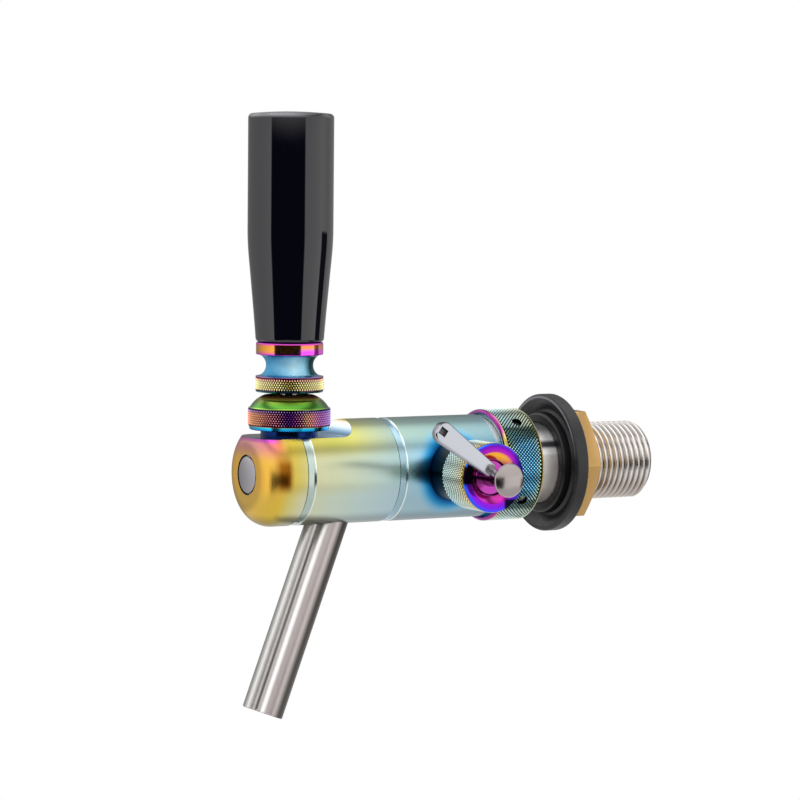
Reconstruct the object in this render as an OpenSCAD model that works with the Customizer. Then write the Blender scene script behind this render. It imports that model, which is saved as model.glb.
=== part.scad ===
// Flow control beer tap, drawn in millimetres.
// The origin is on the shank's axis, at the rear face of the wall nut.
// +Y runs back along the shank, -Y is the side the drinker stands on,
// +X is the side of the flow control lever and +Z is up.

/* [Shank and wall fittings] */
// Outer radius of the 7/8-14 shank thread
thread_r = 11.11; // [10:0.01:11.3]
// Length of free thread behind the wall nut, with its end chamfer
thread_len = 21.2; // [14:0.1:60]
// Depth of the thread, and of the stretch turned down inside the nut
thread_depth = 0.9; // [0.6:0.01:1]
// Chamfer at the end of the shank
shank_chamfer = 1.3; // [0.4:0.1:2]
// Radius of the plain shank in front of the flange
shank_r = 11.5; // [11.45:0.01:12]
// Radius of the bore through the shank
shank_bore_r = 4.8; // [4:0.1:5.5]
// Thickness of the wall nut
nut_t = 6.3; // [4:0.1:10]
// Distance across the flats of the wall nut
nut_af = 30; // [27:0.1:36]
// Radius of the wall flange
flange_r = 19.7; // [17:0.1:30]
// Thickness of the flange at its rim
flange_t = 4.1; // [3:0.1:8]
// Outer radius of the hub ring on the flange
hub_r = 14.4; // [13.2:0.1:16]
// Height of the hub ring in front of the flange's rim
hub_rise = 1.3; // [0.5:0.1:3]
// Depth of the dish between the rim and the hub
dish_depth = 1.9; // [0.5:0.1:2.2]

/* [Coupling nut] */
// Radius over the knurl of the coupling nut
collar_r = 16.0; // [15.9:0.1:18]
// Length of the coupling nut
collar_len = 12.0; // [10.8:0.1:16]
// Gap between the coupling nut and the flange's rim
collar_gap = 8.6; // [6:0.1:30]
// Radius of the bore in the coupling nut's thread
collar_thread_r = 14.5; // [14.45:0.01:14.7]
// Radius of the lip that holds the body
collar_lip_r = 13.4; // [13.3:0.05:13.6]
// Length of the lip behind its countersink
lip_len = 1.9; // [1:0.1:2.5]
// Radius of each spanner hole
spanner_r = 1.5; // [1:0.1:2]
// Number of spanner holes
spanner_count = 4; // [2:1:6]
// Angle of the first spanner hole above the side lever's axis
spanner_angle = 54; // [0:1:89]

/* [Body] */
// Outer radius of the body
body_r = 14.52; // [14.2:0.01:15]
// Distance from the handle's axis to the front of the nose
nose_len = 13.0; // [12:0.05:18]
// Rounding of the nose
nose_round = 6.8; // [3:0.1:7.2]
// Distance from the handle's axis to the flow lever's axis
lever_pitch = 44.8; // [44:0.1:70]
// Distance from the flow lever's axis to the coupling nut
side_to_collar = 16.2; // [15:0.1:25]
// Distance from the flow lever's axis to the joint between the body halves
side_to_joint = 17.6; // [17.2:0.1:19]
// Depth of the two turned grooves
groove_depth = 0.32; // [0.1:0.02:0.6]
// Width of each groove's flat bottom
groove_w = 2.0; // [0.8:0.1:2.6]
// Distance of the nose groove in front of the handle's axis
nose_groove = 1.5; // [0.5:0.1:3]
// Height of the milled flat over the body's axis
flat_z = 10.3; // [9.6:0.1:11]
// Distance from the handle's axis to where the flat starts to rise
flat_run = 11.4; // [10:0.1:13]
// Radius of the cutter that leaves the scoop at the end of the flat
scoop_r = 5.2; // [3:0.1:5.5]
// Radius of the chamber in the front half
chamber_r = 7.6; // [7.4:0.05:7.8]
// Radius of the chamber in the rear half
rear_bore_r = 8.3; // [8.2:0.05:8.6]
// Radius of the spigot that joins the halves
spigot_r = 11.1; // [10.8:0.05:11.6]
// Length of the spigot
spigot_len = 8.2; // [7:0.1:8.4]
// Length of the taper at the rear end of the body
tail_taper = 3.4; // [1:0.1:4]

/* [Nose plug] */
// Radius of the plug's head
plug_r = 5.38; // [4.9:0.01:6]
// Thickness of the plug's head
plug_t = 1.3; // [0.8:0.1:1.4]
// Radius of the plug's thread
plug_thread_r = 4.2; // [3:0.05:4.2]

/* [Handle socket] */
// Radius of the neck under the bonnet
neck_r = 7.9; // [7.8:0.05:8.4]
// Radius of the lever's ball
ball_r = 6.0; // [5.8:0.05:6]
// Height of the ball's centre over the body's axis
ball_z = 13.6; // [13.5:0.05:13.8]
// Radius over the bonnet's knurl
bonnet_r = 11.55; // [11.3:0.05:12.2]
// Height of the underside of the bonnet over the body's axis
bonnet_z = 12.2; // [12.1:0.05:12.6]
// Height of the bonnet's lower chamfer
bonnet_chamfer = 1.1; // [0.4:0.05:1.4]
// Height of the bonnet's knurled band
bonnet_knurl_h = 4.9; // [3.5:0.05:5]
// Radius of the opening in the top of the bonnet
bonnet_mouth_r = 6.9; // [6.8:0.05:7.2]
// Height of the top of the bonnet over the body's axis
bonnet_top_z = 21.65; // [21.2:0.05:21.8]

/* [Handle] */
// Radius of the lever's stem
stem_r = 2.75; // [2:0.05:2.8]
// Largest angle of the handle, used to lay out the sliding valve
handle_tilt = 24; // [10:1:24]
// Height of the underside of the ferrule over the body's axis
ferrule_z = 22.55; // [22.5:0.05:24]
// Radius over the ferrule's knurl
ferrule_knurl_r = 9.6; // [9.2:0.05:10.4]
// Height of the ferrule's knurled band
ferrule_knurl_h = 4.4; // [4.1:0.05:6]
// Radius of the ferrule's waist
waist_r = 6.5; // [5:0.05:7]
// Height of the ferrule's waist
waist_h = 5.9; // [5:0.05:9]
// Radius of the ferrule's plain ring
ring_r = 9.28; // [8.5:0.05:10.4]
// Height of the ferrule's plain ring
ring_h = 3.4; // [2:0.05:5]
// Radius of the recess under the ferrule, about the ball's centre
recess_r = 12.75; // [12.65:0.05:12.85]
// Length of the handle's grip
grip_len = 63.2; // [45:0.1:120]
// Radius of the grip's cylinder
grip_r = 11.8; // [10.5:0.05:16]
// Radius at the foot of the grip
grip_foot_r = 9.45; // [9.2:0.05:10.4]
// Height of the grip's taper
grip_taper_h = 27.5; // [15:0.5:30]

/* [Sliding valve] */
// Radius of the ball tip at the lower end of the lever
tip_r = 2.2; // [1.8:0.05:2.3]
// Clearance each side of the ball tip
tip_clear = 0.25; // [0.2:0.01:0.3]
// Radius of the valve's rod
rod_r = 2.6; // [2.2:0.05:2.8]
// Distance from the handle's axis to the valve seat's shoulder
seat_y = 22.0; // [21.6:0.1:22.4]
// Thickness of the valve seat
seat_t = 2.8; // [2:0.1:3]
// Radius of the hole through the valve seat
seat_bore_r = 4.6; // [4:0.05:4.8]
// Radius of the valve disc
disc_r = 6.7; // [6:0.05:7]

/* [Flow control] */
// Radius over the knurl of the side nut
side_nut_r = 9.65; // [9.3:0.05:11]
// Distance from the body's axis to the inner face of the side nut
side_nut_x = 22.8; // [19:0.1:28]
// Length of the side nut
side_nut_len = 12.8; // [12:0.1:16]
// Radius of the boss that carries the side nut
boss_r = 8.0; // [7.8:0.05:8.6]
// Radius of the side nut's thread
side_thread_r = 7.2; // [7:0.05:7.3]
// Depth of the countersink in the side nut's face
side_sink = 1.9; // [0.8:0.1:2.4]
// Radius of the flow control stem
flow_stem_r = 2.4; // [2:0.05:2.5]
// Radius of the stem's domed head
head_r = 4.65; // [4.4:0.05:5.4]
// Distance of the head's rim in front of the side nut's face
head_out = 7.8; // [7.2:0.1:10]
// Eccentricity of the pin that drives the compensator
crank_e = 2.6; // [2:0.05:2.6]
// Radius of the eccentric pin
crank_r = 1.5; // [1.2:0.05:1.5]
// Swing of the flow lever each way from the middle
flow_swing = 45; // [20:1:45]
// Angle of the flow lever over the horizontal, pointing forwards
flow_arm_angle = 35.5; // [0:0.5:60]
// Distance from the flow lever's axis to its tip
flow_arm_len = 25.6; // [20:0.1:34]
// Width of the flow lever at its tip
flow_arm_tip_w = 6.0; // [5:0.1:8]
// Width of the flow lever at its root
flow_arm_root_w = 3.75; // [3:0.05:4.5]
// Thickness of the flow lever
flow_arm_t = 2.4; // [1.8:0.1:3]
// Annular gap round the compensator's cone
cone_gap = 1.0; // [0.95:0.05:1.3]
// Length of the tapered bore
cone_len = 9.0; // [7:0.1:9.4]

/* [Spout] */
// Tilt of the spout towards the drinker
spout_tilt = 20.7; // [18:0.1:22]
// Height of the spout's end under the body's axis
spout_drop = 66.6; // [45:0.1:110]
// Distance behind the handle's axis where the spout's axis leaves the body
spout_y = 13.0; // [12.8:0.05:13.4]
// Outer radius of the main tube
spout_r = 4.7; // [4.4:0.05:4.8]
// Bore radius of the main tube
spout_bore_r = 3.9; // [3.2:0.05:3.95]
// Outer radius of the vent tube in front of it
vent_r = 2.05; // [1.9:0.05:2.2]
// Bore radius of the vent tube
vent_bore_r = 1.2; // [0.8:0.05:1.25]
// Distance between the axes of the two tubes
vent_pitch = 5.35; // [5.2:0.05:5.6]

/* [Fits] */
// Radial clearance of a guided, sliding or turning fit
run_clear = 0.08; // [0.05:0.01:0.1]
// Radial clearance of screwed and fitted parts
fit_clear = 0.05; // [0.03:0.01:0.08]
// Radial clearance between bores and seals
seal_clear = 0.03; // [0.02:0.01:0.05]

/* [Hidden] */
$fn = 96;
eps = 0.01;

// Stations along Y, from the wall nut forwards.
flange_rear_y = -nut_t;
flange_rim_y = flange_rear_y - flange_t;
hub_y = flange_rim_y - hub_rise;
collar_rear_y = flange_rim_y - collar_gap;
collar_front_y = collar_rear_y - collar_len;
side_y = collar_front_y - side_to_collar;
joint_y = side_y - side_to_joint;
handle_y = side_y - lever_pitch;
nose_y = handle_y - nose_len;

// Coupling between the body's tail and the shank's head, inside the coupling nut.
lip_sink = 1.6;
lip_crest = 0.8;
sink_y = collar_front_y + lip_sink;
lip_y = sink_y + lip_len;
ring_t = 1.4;
ring_groove_clear = 0.05;
tail_r = collar_lip_r - 0.3;
tail_y = lip_y + ring_t + 2 * ring_groove_clear + 1.2;
ring_in_r = tail_r - 1.1;
ring_out_r = collar_thread_r - 0.2;
washer_t = 0.8;
head_front_y = tail_y + washer_t;
head_rear_y = collar_rear_y - 0.6;
shank_head_r = collar_thread_r - fit_clear;

// Handle socket.
socket_r = ball_r + 0.35;
socket_floor_z = ball_z - 4.7;
finger_hole_r = 5.2;
cup_r = ball_r + fit_clear;
packing_low = 1.4;
packing_high = 3.6;
bonnet_thread_r = neck_r - 0.25;
boss_top_z = ball_z + packing_high - 0.2;
bonnet_web_z = ball_z + packing_high + 0.05;
bonnet_throat_r = 5.15;
bonnet_side_z = bonnet_z + bonnet_chamfer + bonnet_knurl_h;

// Ferrule, waist and grip.
waist_z = ferrule_z + ferrule_knurl_h;
ring_z = waist_z + waist_h;
ferrule_top_z = ring_z + ring_h;
insert_r = 4.6;
insert_len = 20;
lever_thread_r = 3.0;
lever_thread_len = 15;

// Sliding valve. The lever's finger drives it straight from the ball's centre.
stroke = ball_z * sin(handle_tilt);
pocket_half = tip_r + tip_clear;
piston_front = 8.2;
piston_rear = 4.3;
chamber_front = 9.2;
spigot_end_y = joint_y + spigot_len;
seat_shoulder_y = handle_y + seat_y;
seat_r = chamber_r + 1.0;
seat_rear_y = seat_shoulder_y + seat_t;
seal_t = 1.2;
seal_y = seat_rear_y + 0.05;
disc_y = seal_y + seal_t;
disc_t = 1.4;
valve_nut_y = disc_y + disc_t;
valve_nut_t = 1.8;
rod_end_y = valve_nut_y + valve_nut_t + 0.4;

// Compensator and its drive.
crank_clear = 0.2;
slot_half = crank_r + crank_clear;
tongue_t = 4.4;
tongue_front = 4.3;
land_front = 4.2;
land_len = 3.4;
cone_front_y = side_y + 9.7;
cone_rear_y = cone_front_y + cone_len;
cone_small_r = shank_bore_r + 0.4;
cone_fit_r = rear_bore_r - cone_gap;
tail_len = 2.5;
flute_r = 2.7;

// Stations of the flow control stem along X.
side_face_x = side_nut_x + side_nut_len;
sink_floor_x = side_face_x - side_sink;
sink_r = side_nut_r - 2.45;
nut_hole_r = 5.2;
bush_r = nut_hole_r - 0.35;
bush_flange_t = 1.4;
spigot_x = side_nut_x + 7.2;
bush_flange_x = spigot_x + 0.05;
bush_inner_x = 11.2;
crank_disc_x = rear_bore_r + 0.3;
crank_disc_t = 2.3;
crank_disc_r = 4.4;
crank_end_x = -tongue_t / 2 - 0.4;
head_x = side_face_x + head_out;
head_dome = 0.95;
arm_face_x = head_x - 2.8;
arm_root = 4.0;
arm_neck_r = 1.15;
arm_chamfer = 0.7;

// Spout. Its axis crosses the skin of the body at spout_y.
spout_top_z = -chamber_r + 1.6;
vent_top_drop = 3.2;

// Turned solid about the Y axis. Profile points are [radius, y].
module turn_y(profile) {
    rotate([-90, 0, 0])
        rotate_extrude()
            polygon(profile);
}

// Turned solid about the flow lever's axis. Profile points are [radius, x].
module turn_x(profile) {
    translate([0, side_y, 0])
        rotate([0, 90, 0])
            rotate_extrude()
                polygon(profile);
}

// Turned solid about the handle's axis. Profile points are [radius, z].
module turn_z(profile) {
    translate([0, handle_y, 0])
        rotate_extrude()
            polygon(profile);
}

// Points of an arc about [cx, cy], from angle a0 to a1.
function arc(cx, cy, r, a0, a1, n = 12) =
    [for (i = [0:n]) [cx + r * cos(a0 + (a1 - a0) * i / n), cy + r * sin(a0 + (a1 - a0) * i / n)]];

// Points of an arc of radius r that bulges outwards on its way from a to b.
function bulge(a, b, r, n) =
    let (half = norm(b - a) / 2, out = [b[1] - a[1], a[0] - b[0]] / (2 * half),
         c = (a + b) / 2 - out * sqrt(r * r - half * half),
         start = atan2(a[1] - c[1], a[0] - c[0]))
    arc(c[0], c[1], r, start, start + 2 * asin(half / r), n);

// Round ring seal with its section's centre at [r, z].
module seal_ring(r, z, section_r) {
    rotate_extrude()
        translate([r, z])
            circle(section_r, $fn = 32);
}

// Plain cylinder along Y between two stations.
module rod_y(r, y0, y1) {
    translate([0, y0, 0])
        rotate([-90, 0, 0])
            cylinder(r = r, h = y1 - y0);
}

// Plain cylinder along X on the flow lever's axis.
module rod_x(r, x0, x1) {
    translate([x0, side_y, 0])
        rotate([0, 90, 0])
            cylinder(r = r, h = x1 - x0);
}

// Plain cylinder along Z on the handle's axis.
module rod_z(r, z0, z1) {
    translate([0, handle_y, z0])
        cylinder(r = r, h = z1 - z0);
}

// Places its children on the spout's axis, with +Z running down the tube.
module on_spout() {
    translate([0, handle_y + spout_y, -body_r])
        rotate([180 - spout_tilt, 0, 0])
            children();
}

// Material that the flat and its scooped end take off the front half.
module flat_cut() {
    reach = 2 * body_r;
    translate([-reach, nose_y - reach, flat_z])
        cube([2 * reach, reach + nose_len + flat_run, reach]);
    translate([-reach, handle_y + flat_run, flat_z + scoop_r])
        rotate([0, 90, 0])
            cylinder(r = scoop_r, h = 2 * reach);
}

// Front half: rounded nose, milled flat, neck for the bonnet, chamber and spigot.
module front_body() {
    groove_y = handle_y - nose_groove;
    band_r = body_r - groove_depth;
    plug_counter_r = plug_r + 0.12;
    plug_floor_y = nose_y + plug_t + 1.0;
    color([0.80, 0.74, 0.46])
    difference() {
        union() {
            difference() {
                turn_y(concat(
                    [[0, nose_y]],
                    arc(body_r - nose_round, nose_y + nose_round, nose_round, -90, 0, 16),
                    [[body_r, groove_y], [band_r, groove_y], [band_r, groove_y + groove_w],
                     [body_r, groove_y + groove_w + 2 * groove_depth], [body_r, joint_y],
                     [spigot_r, joint_y], [spigot_r, spigot_end_y - 0.5],
                     [spigot_r - 0.5, spigot_end_y], [0, spigot_end_y]]));
                flat_cut();
            }
            rod_z(neck_r, flat_z - 1, bonnet_z - 0.4);
            rod_z(bonnet_thread_r, flat_z - 1, boss_top_z);
        }
        rod_y(chamber_r, handle_y - chamber_front, seat_shoulder_y + eps);
        rod_y(seat_r, seat_shoulder_y, spigot_end_y + 1);
        rod_z(socket_r, socket_floor_z, boss_top_z + 1);
        rod_z(finger_hole_r, 0, boss_top_z);
        rod_y(plug_counter_r, nose_y - 1, plug_floor_y);
        rod_y(plug_thread_r + fit_clear, nose_y - 1, handle_y - chamber_front + 1);
        joint_groove();
        on_spout() {
            translate([0, 0, -body_r])
                cylinder(r = spout_r + fit_clear, h = 2 * body_r);
            translate([0, vent_pitch, -vent_top_drop])
                cylinder(r = vent_r + fit_clear, h = body_r);
        }
    }
}

// Groove in the spigot that holds the joint's ring seal.
module joint_groove() {
    groove_y = spigot_end_y - 2.6;
    difference() {
        rod_y(spigot_r + 1, groove_y, groove_y + 1.4);
        rod_y(spigot_r - 1.15, groove_y - 1, groove_y + 3);
    }
}

// Ring seal between the halves of the body.
module joint_oring() {
    color([0.12, 0.12, 0.12])
    rotate([-90, 0, 0])
        seal_ring(spigot_r - 0.56, spigot_end_y - 1.9, 0.56);
}

// Screwed plug that closes the front of the chamber.
module nose_plug() {
    color([0.68, 0.66, 0.67])
    turn_y([[0, nose_y], [plug_r - 0.3, nose_y], [plug_r, nose_y + 0.3], [plug_r, nose_y + plug_t],
            [plug_thread_r, nose_y + plug_t], [plug_thread_r, handle_y - chamber_front - 0.1],
            [0, handle_y - chamber_front - 0.1]]);
}

// Ring seal under the plug's head.
module plug_oring() {
    color([0.12, 0.12, 0.12])
    rotate([-90, 0, 0])
        seal_ring(plug_thread_r + 0.52, nose_y + plug_t + 0.5, 0.46);
}

// Spout: main tube with a slim vent tube blended along its front, cut square at the end.
module spout() {
    length = (spout_drop - body_r) / cos(spout_tilt);
    top = (body_r + spout_top_z) / cos(spout_tilt);
    lip = 0.25;
    color([0.66, 0.64, 0.62])
    difference() {
        on_spout() {
            translate([0, 0, -top])
                cylinder(r = spout_r, h = top + length - lip);
            translate([0, 0, length - lip - eps])
                cylinder(r1 = spout_r, r2 = spout_r - lip, h = lip + eps);
            translate([0, vent_pitch, -vent_top_drop + 0.1])
                cylinder(r = vent_r, h = vent_top_drop - 0.1 + length - lip);
            translate([0, vent_pitch, length - lip - eps])
                cylinder(r1 = vent_r, r2 = vent_r - lip, h = lip + eps);
            translate([-vent_r * 0.8, 0, -vent_top_drop + 0.4])
                cube([vent_r * 1.6, vent_pitch, vent_top_drop - 0.4 + length - lip]);
        }
        on_spout() {
            translate([0, 0, -2 * top])
                cylinder(r = spout_bore_r, h = 2 * top + length + 1);
            translate([0, vent_pitch, 2])
                cylinder(r = vent_bore_r, h = length);
            translate([0, 0, 2 + vent_bore_r])
                rotate([-90, 0, 0])
                    cylinder(r = 0.8 * vent_bore_r, h = vent_pitch);
        }
        rod_y(chamber_r - 0.02, handle_y - chamber_front, seat_shoulder_y + 6);
    }
}

// Knurled bonnet with its domed top and conical mouth.
module bonnet() {
    dome_r = 7.5;
    mouth_lip = 0.15;
    side_r = bonnet_r - 0.6;
    color([0.55, 0.25, 0.55])
    difference() {
        turn_z(concat(
            [[0, bonnet_z], [side_r, bonnet_z], [side_r + 0.15, bonnet_z + bonnet_chamfer],
             [bonnet_r, bonnet_z + bonnet_chamfer], [bonnet_r, bonnet_side_z]],
            bulge([side_r, bonnet_side_z], [bonnet_mouth_r + mouth_lip, bonnet_top_z], dome_r, 10),
            [[0, bonnet_top_z]]));
        rod_z(bonnet_thread_r + fit_clear, bonnet_z - 1, bonnet_web_z);
        rod_z(bonnet_throat_r, bonnet_z - 1, bonnet_top_z + 1);
        translate([0, handle_y, bonnet_web_z + 0.3])
            cylinder(r1 = bonnet_throat_r, r2 = bonnet_mouth_r,
                     h = bonnet_top_z - bonnet_web_z - 0.3 + eps);
    }
}

// Seat under the ball.
module ball_seat() {
    color([0.92, 0.92, 0.88])
    difference() {
        rod_z(socket_r - fit_clear, socket_floor_z, socket_floor_z + 1.9);
        rod_z(finger_hole_r - 0.7, socket_floor_z - 1, socket_floor_z + 3);
        translate([0, handle_y, ball_z])
            sphere(r = cup_r);
    }
}

// Packing over the ball, pressed down by the bonnet.
module ball_packing() {
    color([0.92, 0.92, 0.88])
    difference() {
        rod_z(socket_r - fit_clear, ball_z + packing_low, ball_z + packing_high);
        translate([0, handle_y, ball_z])
            sphere(r = cup_r);
    }
}

// Lever: threaded stem, ball and finger in one turned piece.
module ball_lever() {
    thread_start_z = ball_z + recess_r + 0.2;
    thread_end_z = ferrule_top_z + lever_thread_len;
    finger_r = tip_r - 0.3;
    color([0.70, 0.70, 0.72])
    union() {
        turn_z([[0, ball_z], [stem_r, ball_z], [stem_r, thread_start_z],
                [lever_thread_r, thread_start_z + 0.25], [lever_thread_r, thread_end_z - 0.6],
                [lever_thread_r - 0.6, thread_end_z], [0, thread_end_z]]);
        translate([0, handle_y, ball_z])
            sphere(r = ball_r);
        rod_z(finger_r, 0, ball_z);
        translate([0, handle_y, 0])
            sphere(r = tip_r);
    }
}

// Ferrule: knurled ring, hollow waist and plain ring, recessed below so that it clears the bonnet.
module handle_ferrule() {
    lower_r = ferrule_knurl_r - 0.45;
    upper_r = ring_r - 0.15;
    edge = 0.25;
    color([0.60, 0.70, 0.78])
    difference() {
        turn_z(concat(
            [[0, ferrule_z], [ferrule_knurl_r - edge, ferrule_z], [ferrule_knurl_r, ferrule_z + edge],
             [ferrule_knurl_r, waist_z - edge], [ferrule_knurl_r - edge, waist_z]],
            [for (i = [0:16]) let(t = 180 * i / 16)
                [waist_r + (lower_r - waist_r) * (1 - sin(t)) * (i < 8 ? 1 : 0)
                         + (upper_r - waist_r) * (1 - sin(t)) * (i < 8 ? 0 : 1),
                 waist_z + waist_h * (1 - cos(t)) / 2]],
            [[ring_r, ring_z + 0.1], [ring_r, ferrule_top_z - edge],
             [ring_r - edge, ferrule_top_z], [0, ferrule_top_z]]));
        rod_z(lever_thread_r + fit_clear, ferrule_z - 1, ferrule_top_z + 1);
        translate([0, handle_y, ball_z])
            sphere(r = recess_r);
    }
}

// Threaded insert moulded into the grip.
module handle_insert() {
    color([0.78, 0.64, 0.32])
    difference() {
        rod_z(insert_r, ferrule_top_z, ferrule_top_z + insert_len);
        rod_z(lever_thread_r + fit_clear, ferrule_top_z - 1, ferrule_top_z + lever_thread_len + 1);
    }
}

// Moulded grip.
module handle_grip() {
    foot_z = ferrule_top_z;
    top_z = foot_z + grip_len;
    foot_round = 1.2;
    top_round = 1.3;
    crown = 0.5;
    color([0.05, 0.05, 0.06])
    difference() {
        turn_z(concat(
            [[0, foot_z]],
            arc(grip_foot_r - foot_round, foot_z + foot_round, foot_round, -90, 0, 6),
            [[grip_foot_r + 0.15, foot_z + 3], [grip_foot_r + 0.6, foot_z + 8.6],
             [grip_r - 0.15, foot_z + grip_taper_h - 1.5],
             [grip_r, foot_z + grip_taper_h + 1.5], [grip_r, top_z - crown - top_round]],
            arc(grip_r - top_round, top_z - crown - top_round, top_round, 0, 75, 8),
            [[grip_r * 0.45, top_z - 0.12], [0, top_z]]));
        rod_z(insert_r + fit_clear, foot_z - 1, foot_z + insert_len + fit_clear);
    }
}

// Sliding valve: a guide piston with the finger's pocket, and the rod to the valve disc.
module shuttle() {
    guide_r = chamber_r - run_clear;
    pocket_floor = tip_r + 0.6;
    pocket_x = tip_r + 0.35;
    color([0.72, 0.72, 0.74])
    difference() {
        union() {
            rod_y(guide_r, handle_y - piston_front, handle_y + piston_rear);
            rod_y(rod_r, handle_y, disc_y);
            rod_y(rod_r - 0.8, handle_y, rod_end_y);
        }
        translate([-pocket_x, handle_y, 0])
            rotate([90, 0, 90])
                linear_extrude(2 * pocket_x)
                    polygon([[-pocket_half, -pocket_floor], [pocket_half, -pocket_floor],
                             [pocket_half, chamber_r + 1], [-6.0, chamber_r + 1],
                             [-6.0, 5.0], [-pocket_half, 1.5]]);
        translate([0, handle_y - piston_front - 1, -4.6])
            rotate([-90, 0, 0])
                cylinder(r = 1.2, h = piston_front + piston_rear + 2);
    }
}

// Screwed seat that the valve closes on.
module valve_seat() {
    color([0.74, 0.73, 0.70])
    turn_y([[seat_bore_r, seat_shoulder_y + 0.02], [seat_r - fit_clear, seat_shoulder_y + 0.02],
            [seat_r - fit_clear, seat_rear_y - 0.8], [seat_bore_r + 1.6, seat_rear_y - 0.8],
            [seat_bore_r + 1.0, seat_rear_y], [seat_bore_r + 0.4, seat_rear_y],
            [seat_bore_r, seat_rear_y - 0.4]]);
}

// Rubber washer that seals on the seat's lip.
module valve_seal() {
    color([0.15, 0.15, 0.15])
    difference() {
        rod_y(disc_r - 0.3, seal_y, disc_y);
        rod_y(rod_r + fit_clear, seal_y - 1, disc_y + 1);
    }
}

// Disc that backs the washer.
module valve_disc() {
    color([0.72, 0.72, 0.74])
    turn_y([[rod_r - 0.8 + fit_clear, disc_y], [disc_r, disc_y], [disc_r, disc_y + 0.6],
            [disc_r - 1.2, disc_y + disc_t], [rod_r - 0.8 + fit_clear, disc_y + disc_t]]);
}

// Nut that holds the disc on the rod.
module valve_nut() {
    color([0.70, 0.70, 0.70])
    difference() {
        translate([0, valve_nut_y, 0])
            rotate([-90, 0, 0])
                cylinder(r = 3.4, h = valve_nut_t, $fn = 6);
        rod_y(rod_r - 0.8 + fit_clear, valve_nut_y - 1, valve_nut_y + valve_nut_t + 1);
    }
}

// Rear half: side boss, tapered bore for the compensator and tail for the coupling nut.
module rear_body() {
    band_r = body_r - groove_depth;
    taper_y = sink_y - tail_taper;
    groove_y = lip_y;
    color([0.52, 0.68, 0.72])
    difference() {
        union() {
            turn_y([[0, joint_y + 0.03], [band_r, joint_y + 0.03], [band_r, joint_y + groove_w],
                    [body_r, joint_y + groove_w + 2 * groove_depth], [body_r, taper_y],
                    [tail_r, sink_y], [tail_r, groove_y], [ring_in_r - ring_groove_clear, groove_y],
                    [ring_in_r - ring_groove_clear, groove_y + ring_t + 2 * ring_groove_clear],
                    [tail_r, groove_y + ring_t + 2 * ring_groove_clear],
                    [tail_r, tail_y - 0.3], [tail_r - 0.3, tail_y], [0, tail_y]]);
            rod_x(boss_r, 2, side_nut_x - 0.02);
            rod_x(side_thread_r, 2, spigot_x);
        }
        rod_y(spigot_r + fit_clear, joint_y - 1, spigot_end_y + 0.2);
        rod_y(rear_bore_r, joint_y, cone_front_y);
        turn_y([[0, cone_front_y - eps], [rear_bore_r, cone_front_y - eps], [rear_bore_r, cone_front_y],
                [cone_small_r, cone_rear_y], [cone_small_r, tail_y + 1], [0, tail_y + 1]]);
        rod_x(bush_r + fit_clear, 3, spigot_x + 1);
    }
}

// Compensator: slotted tongue, fluted guide land, cone and tail.
module compensator() {
    land_y = side_y + land_front;
    land_rear_y = land_y + land_len;
    nose_z = rear_bore_r - 1.9;
    small_r = cone_fit_r - (rear_bore_r - cone_small_r);
    color([0.90, 0.90, 0.86])
    difference() {
        union() {
            translate([-tongue_t / 2, side_y - tongue_front, -nose_z])
                cube([tongue_t, tongue_front + land_front + 1, 2 * nose_z]);
            turn_y([[0, land_y], [rear_bore_r - run_clear, land_y], [rear_bore_r - run_clear, land_rear_y],
                    [cone_fit_r, cone_front_y], [small_r, cone_rear_y],
                    [1.2, cone_rear_y + tail_len], [0, cone_rear_y + tail_len]]);
        }
        translate([-tongue_t, side_y - slot_half, -crank_e - slot_half])
            cube([2 * tongue_t, 2 * slot_half, 2 * (crank_e + slot_half)]);
        for (i = [0:3])
            rotate([0, 45 + 90 * i, 0])
                translate([rear_bore_r, 0, 0])
                    rod_y(flute_r, land_y - 1, land_rear_y + 3);
    }
}

// Flow control stem: domed head, shaft, crank disc and eccentric pin.
module flow_stem() {
    neck_x = arm_face_x - flow_arm_t - 0.6;
    dome_r = (head_r * head_r + head_dome * head_dome) / (2 * head_dome);
    dome_angle = asin(head_r / dome_r);
    color([0.78, 0.78, 0.80])
    difference() {
        union() {
            turn_x(concat(
                [[0, crank_disc_x], [crank_disc_r, crank_disc_x],
                 [crank_disc_r, crank_disc_x + crank_disc_t], [flow_stem_r, crank_disc_x + crank_disc_t],
                 [flow_stem_r, neck_x], [head_r * 0.62, arm_face_x], [head_r - 0.12, head_x - 0.25],
                 [head_r, head_x]],
                arc(0, head_x + head_dome - dome_r, dome_r, 90 - dome_angle, 90, 8)));
            translate([crank_end_x, side_y, crank_e])
                rotate([0, 90, 0])
                    cylinder(r = crank_r, h = crank_disc_x - crank_end_x + 1);
        }
        for (x = stem_ring_stations)
            stem_groove(x);
        translate([arm_face_x - flow_arm_t / 2, side_y, 0])
            rotate([90 - flow_arm_angle, 0, 0])
                translate([0, 0, 0.4])
                    cylinder(r = arm_neck_r + fit_clear, h = head_r);
    }
}

stem_ring_stations = [bush_inner_x + 4, bush_inner_x + 10];
stem_ring_section = 0.42;

// Groove in the stem for one of its ring seals.
module stem_groove(x) {
    difference() {
        rod_x(flow_stem_r + 1, x - 0.55, x + 0.55);
        rod_x(flow_stem_r - 0.85, x - 1, x + 1);
    }
}

// Ring seals on the stem.
module stem_orings() {
    color([0.12, 0.12, 0.12])
    for (x = stem_ring_stations)
        translate([0, side_y, 0])
            rotate([0, 90, 0])
                seal_ring(flow_stem_r - 0.4, x, stem_ring_section);
}

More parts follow.
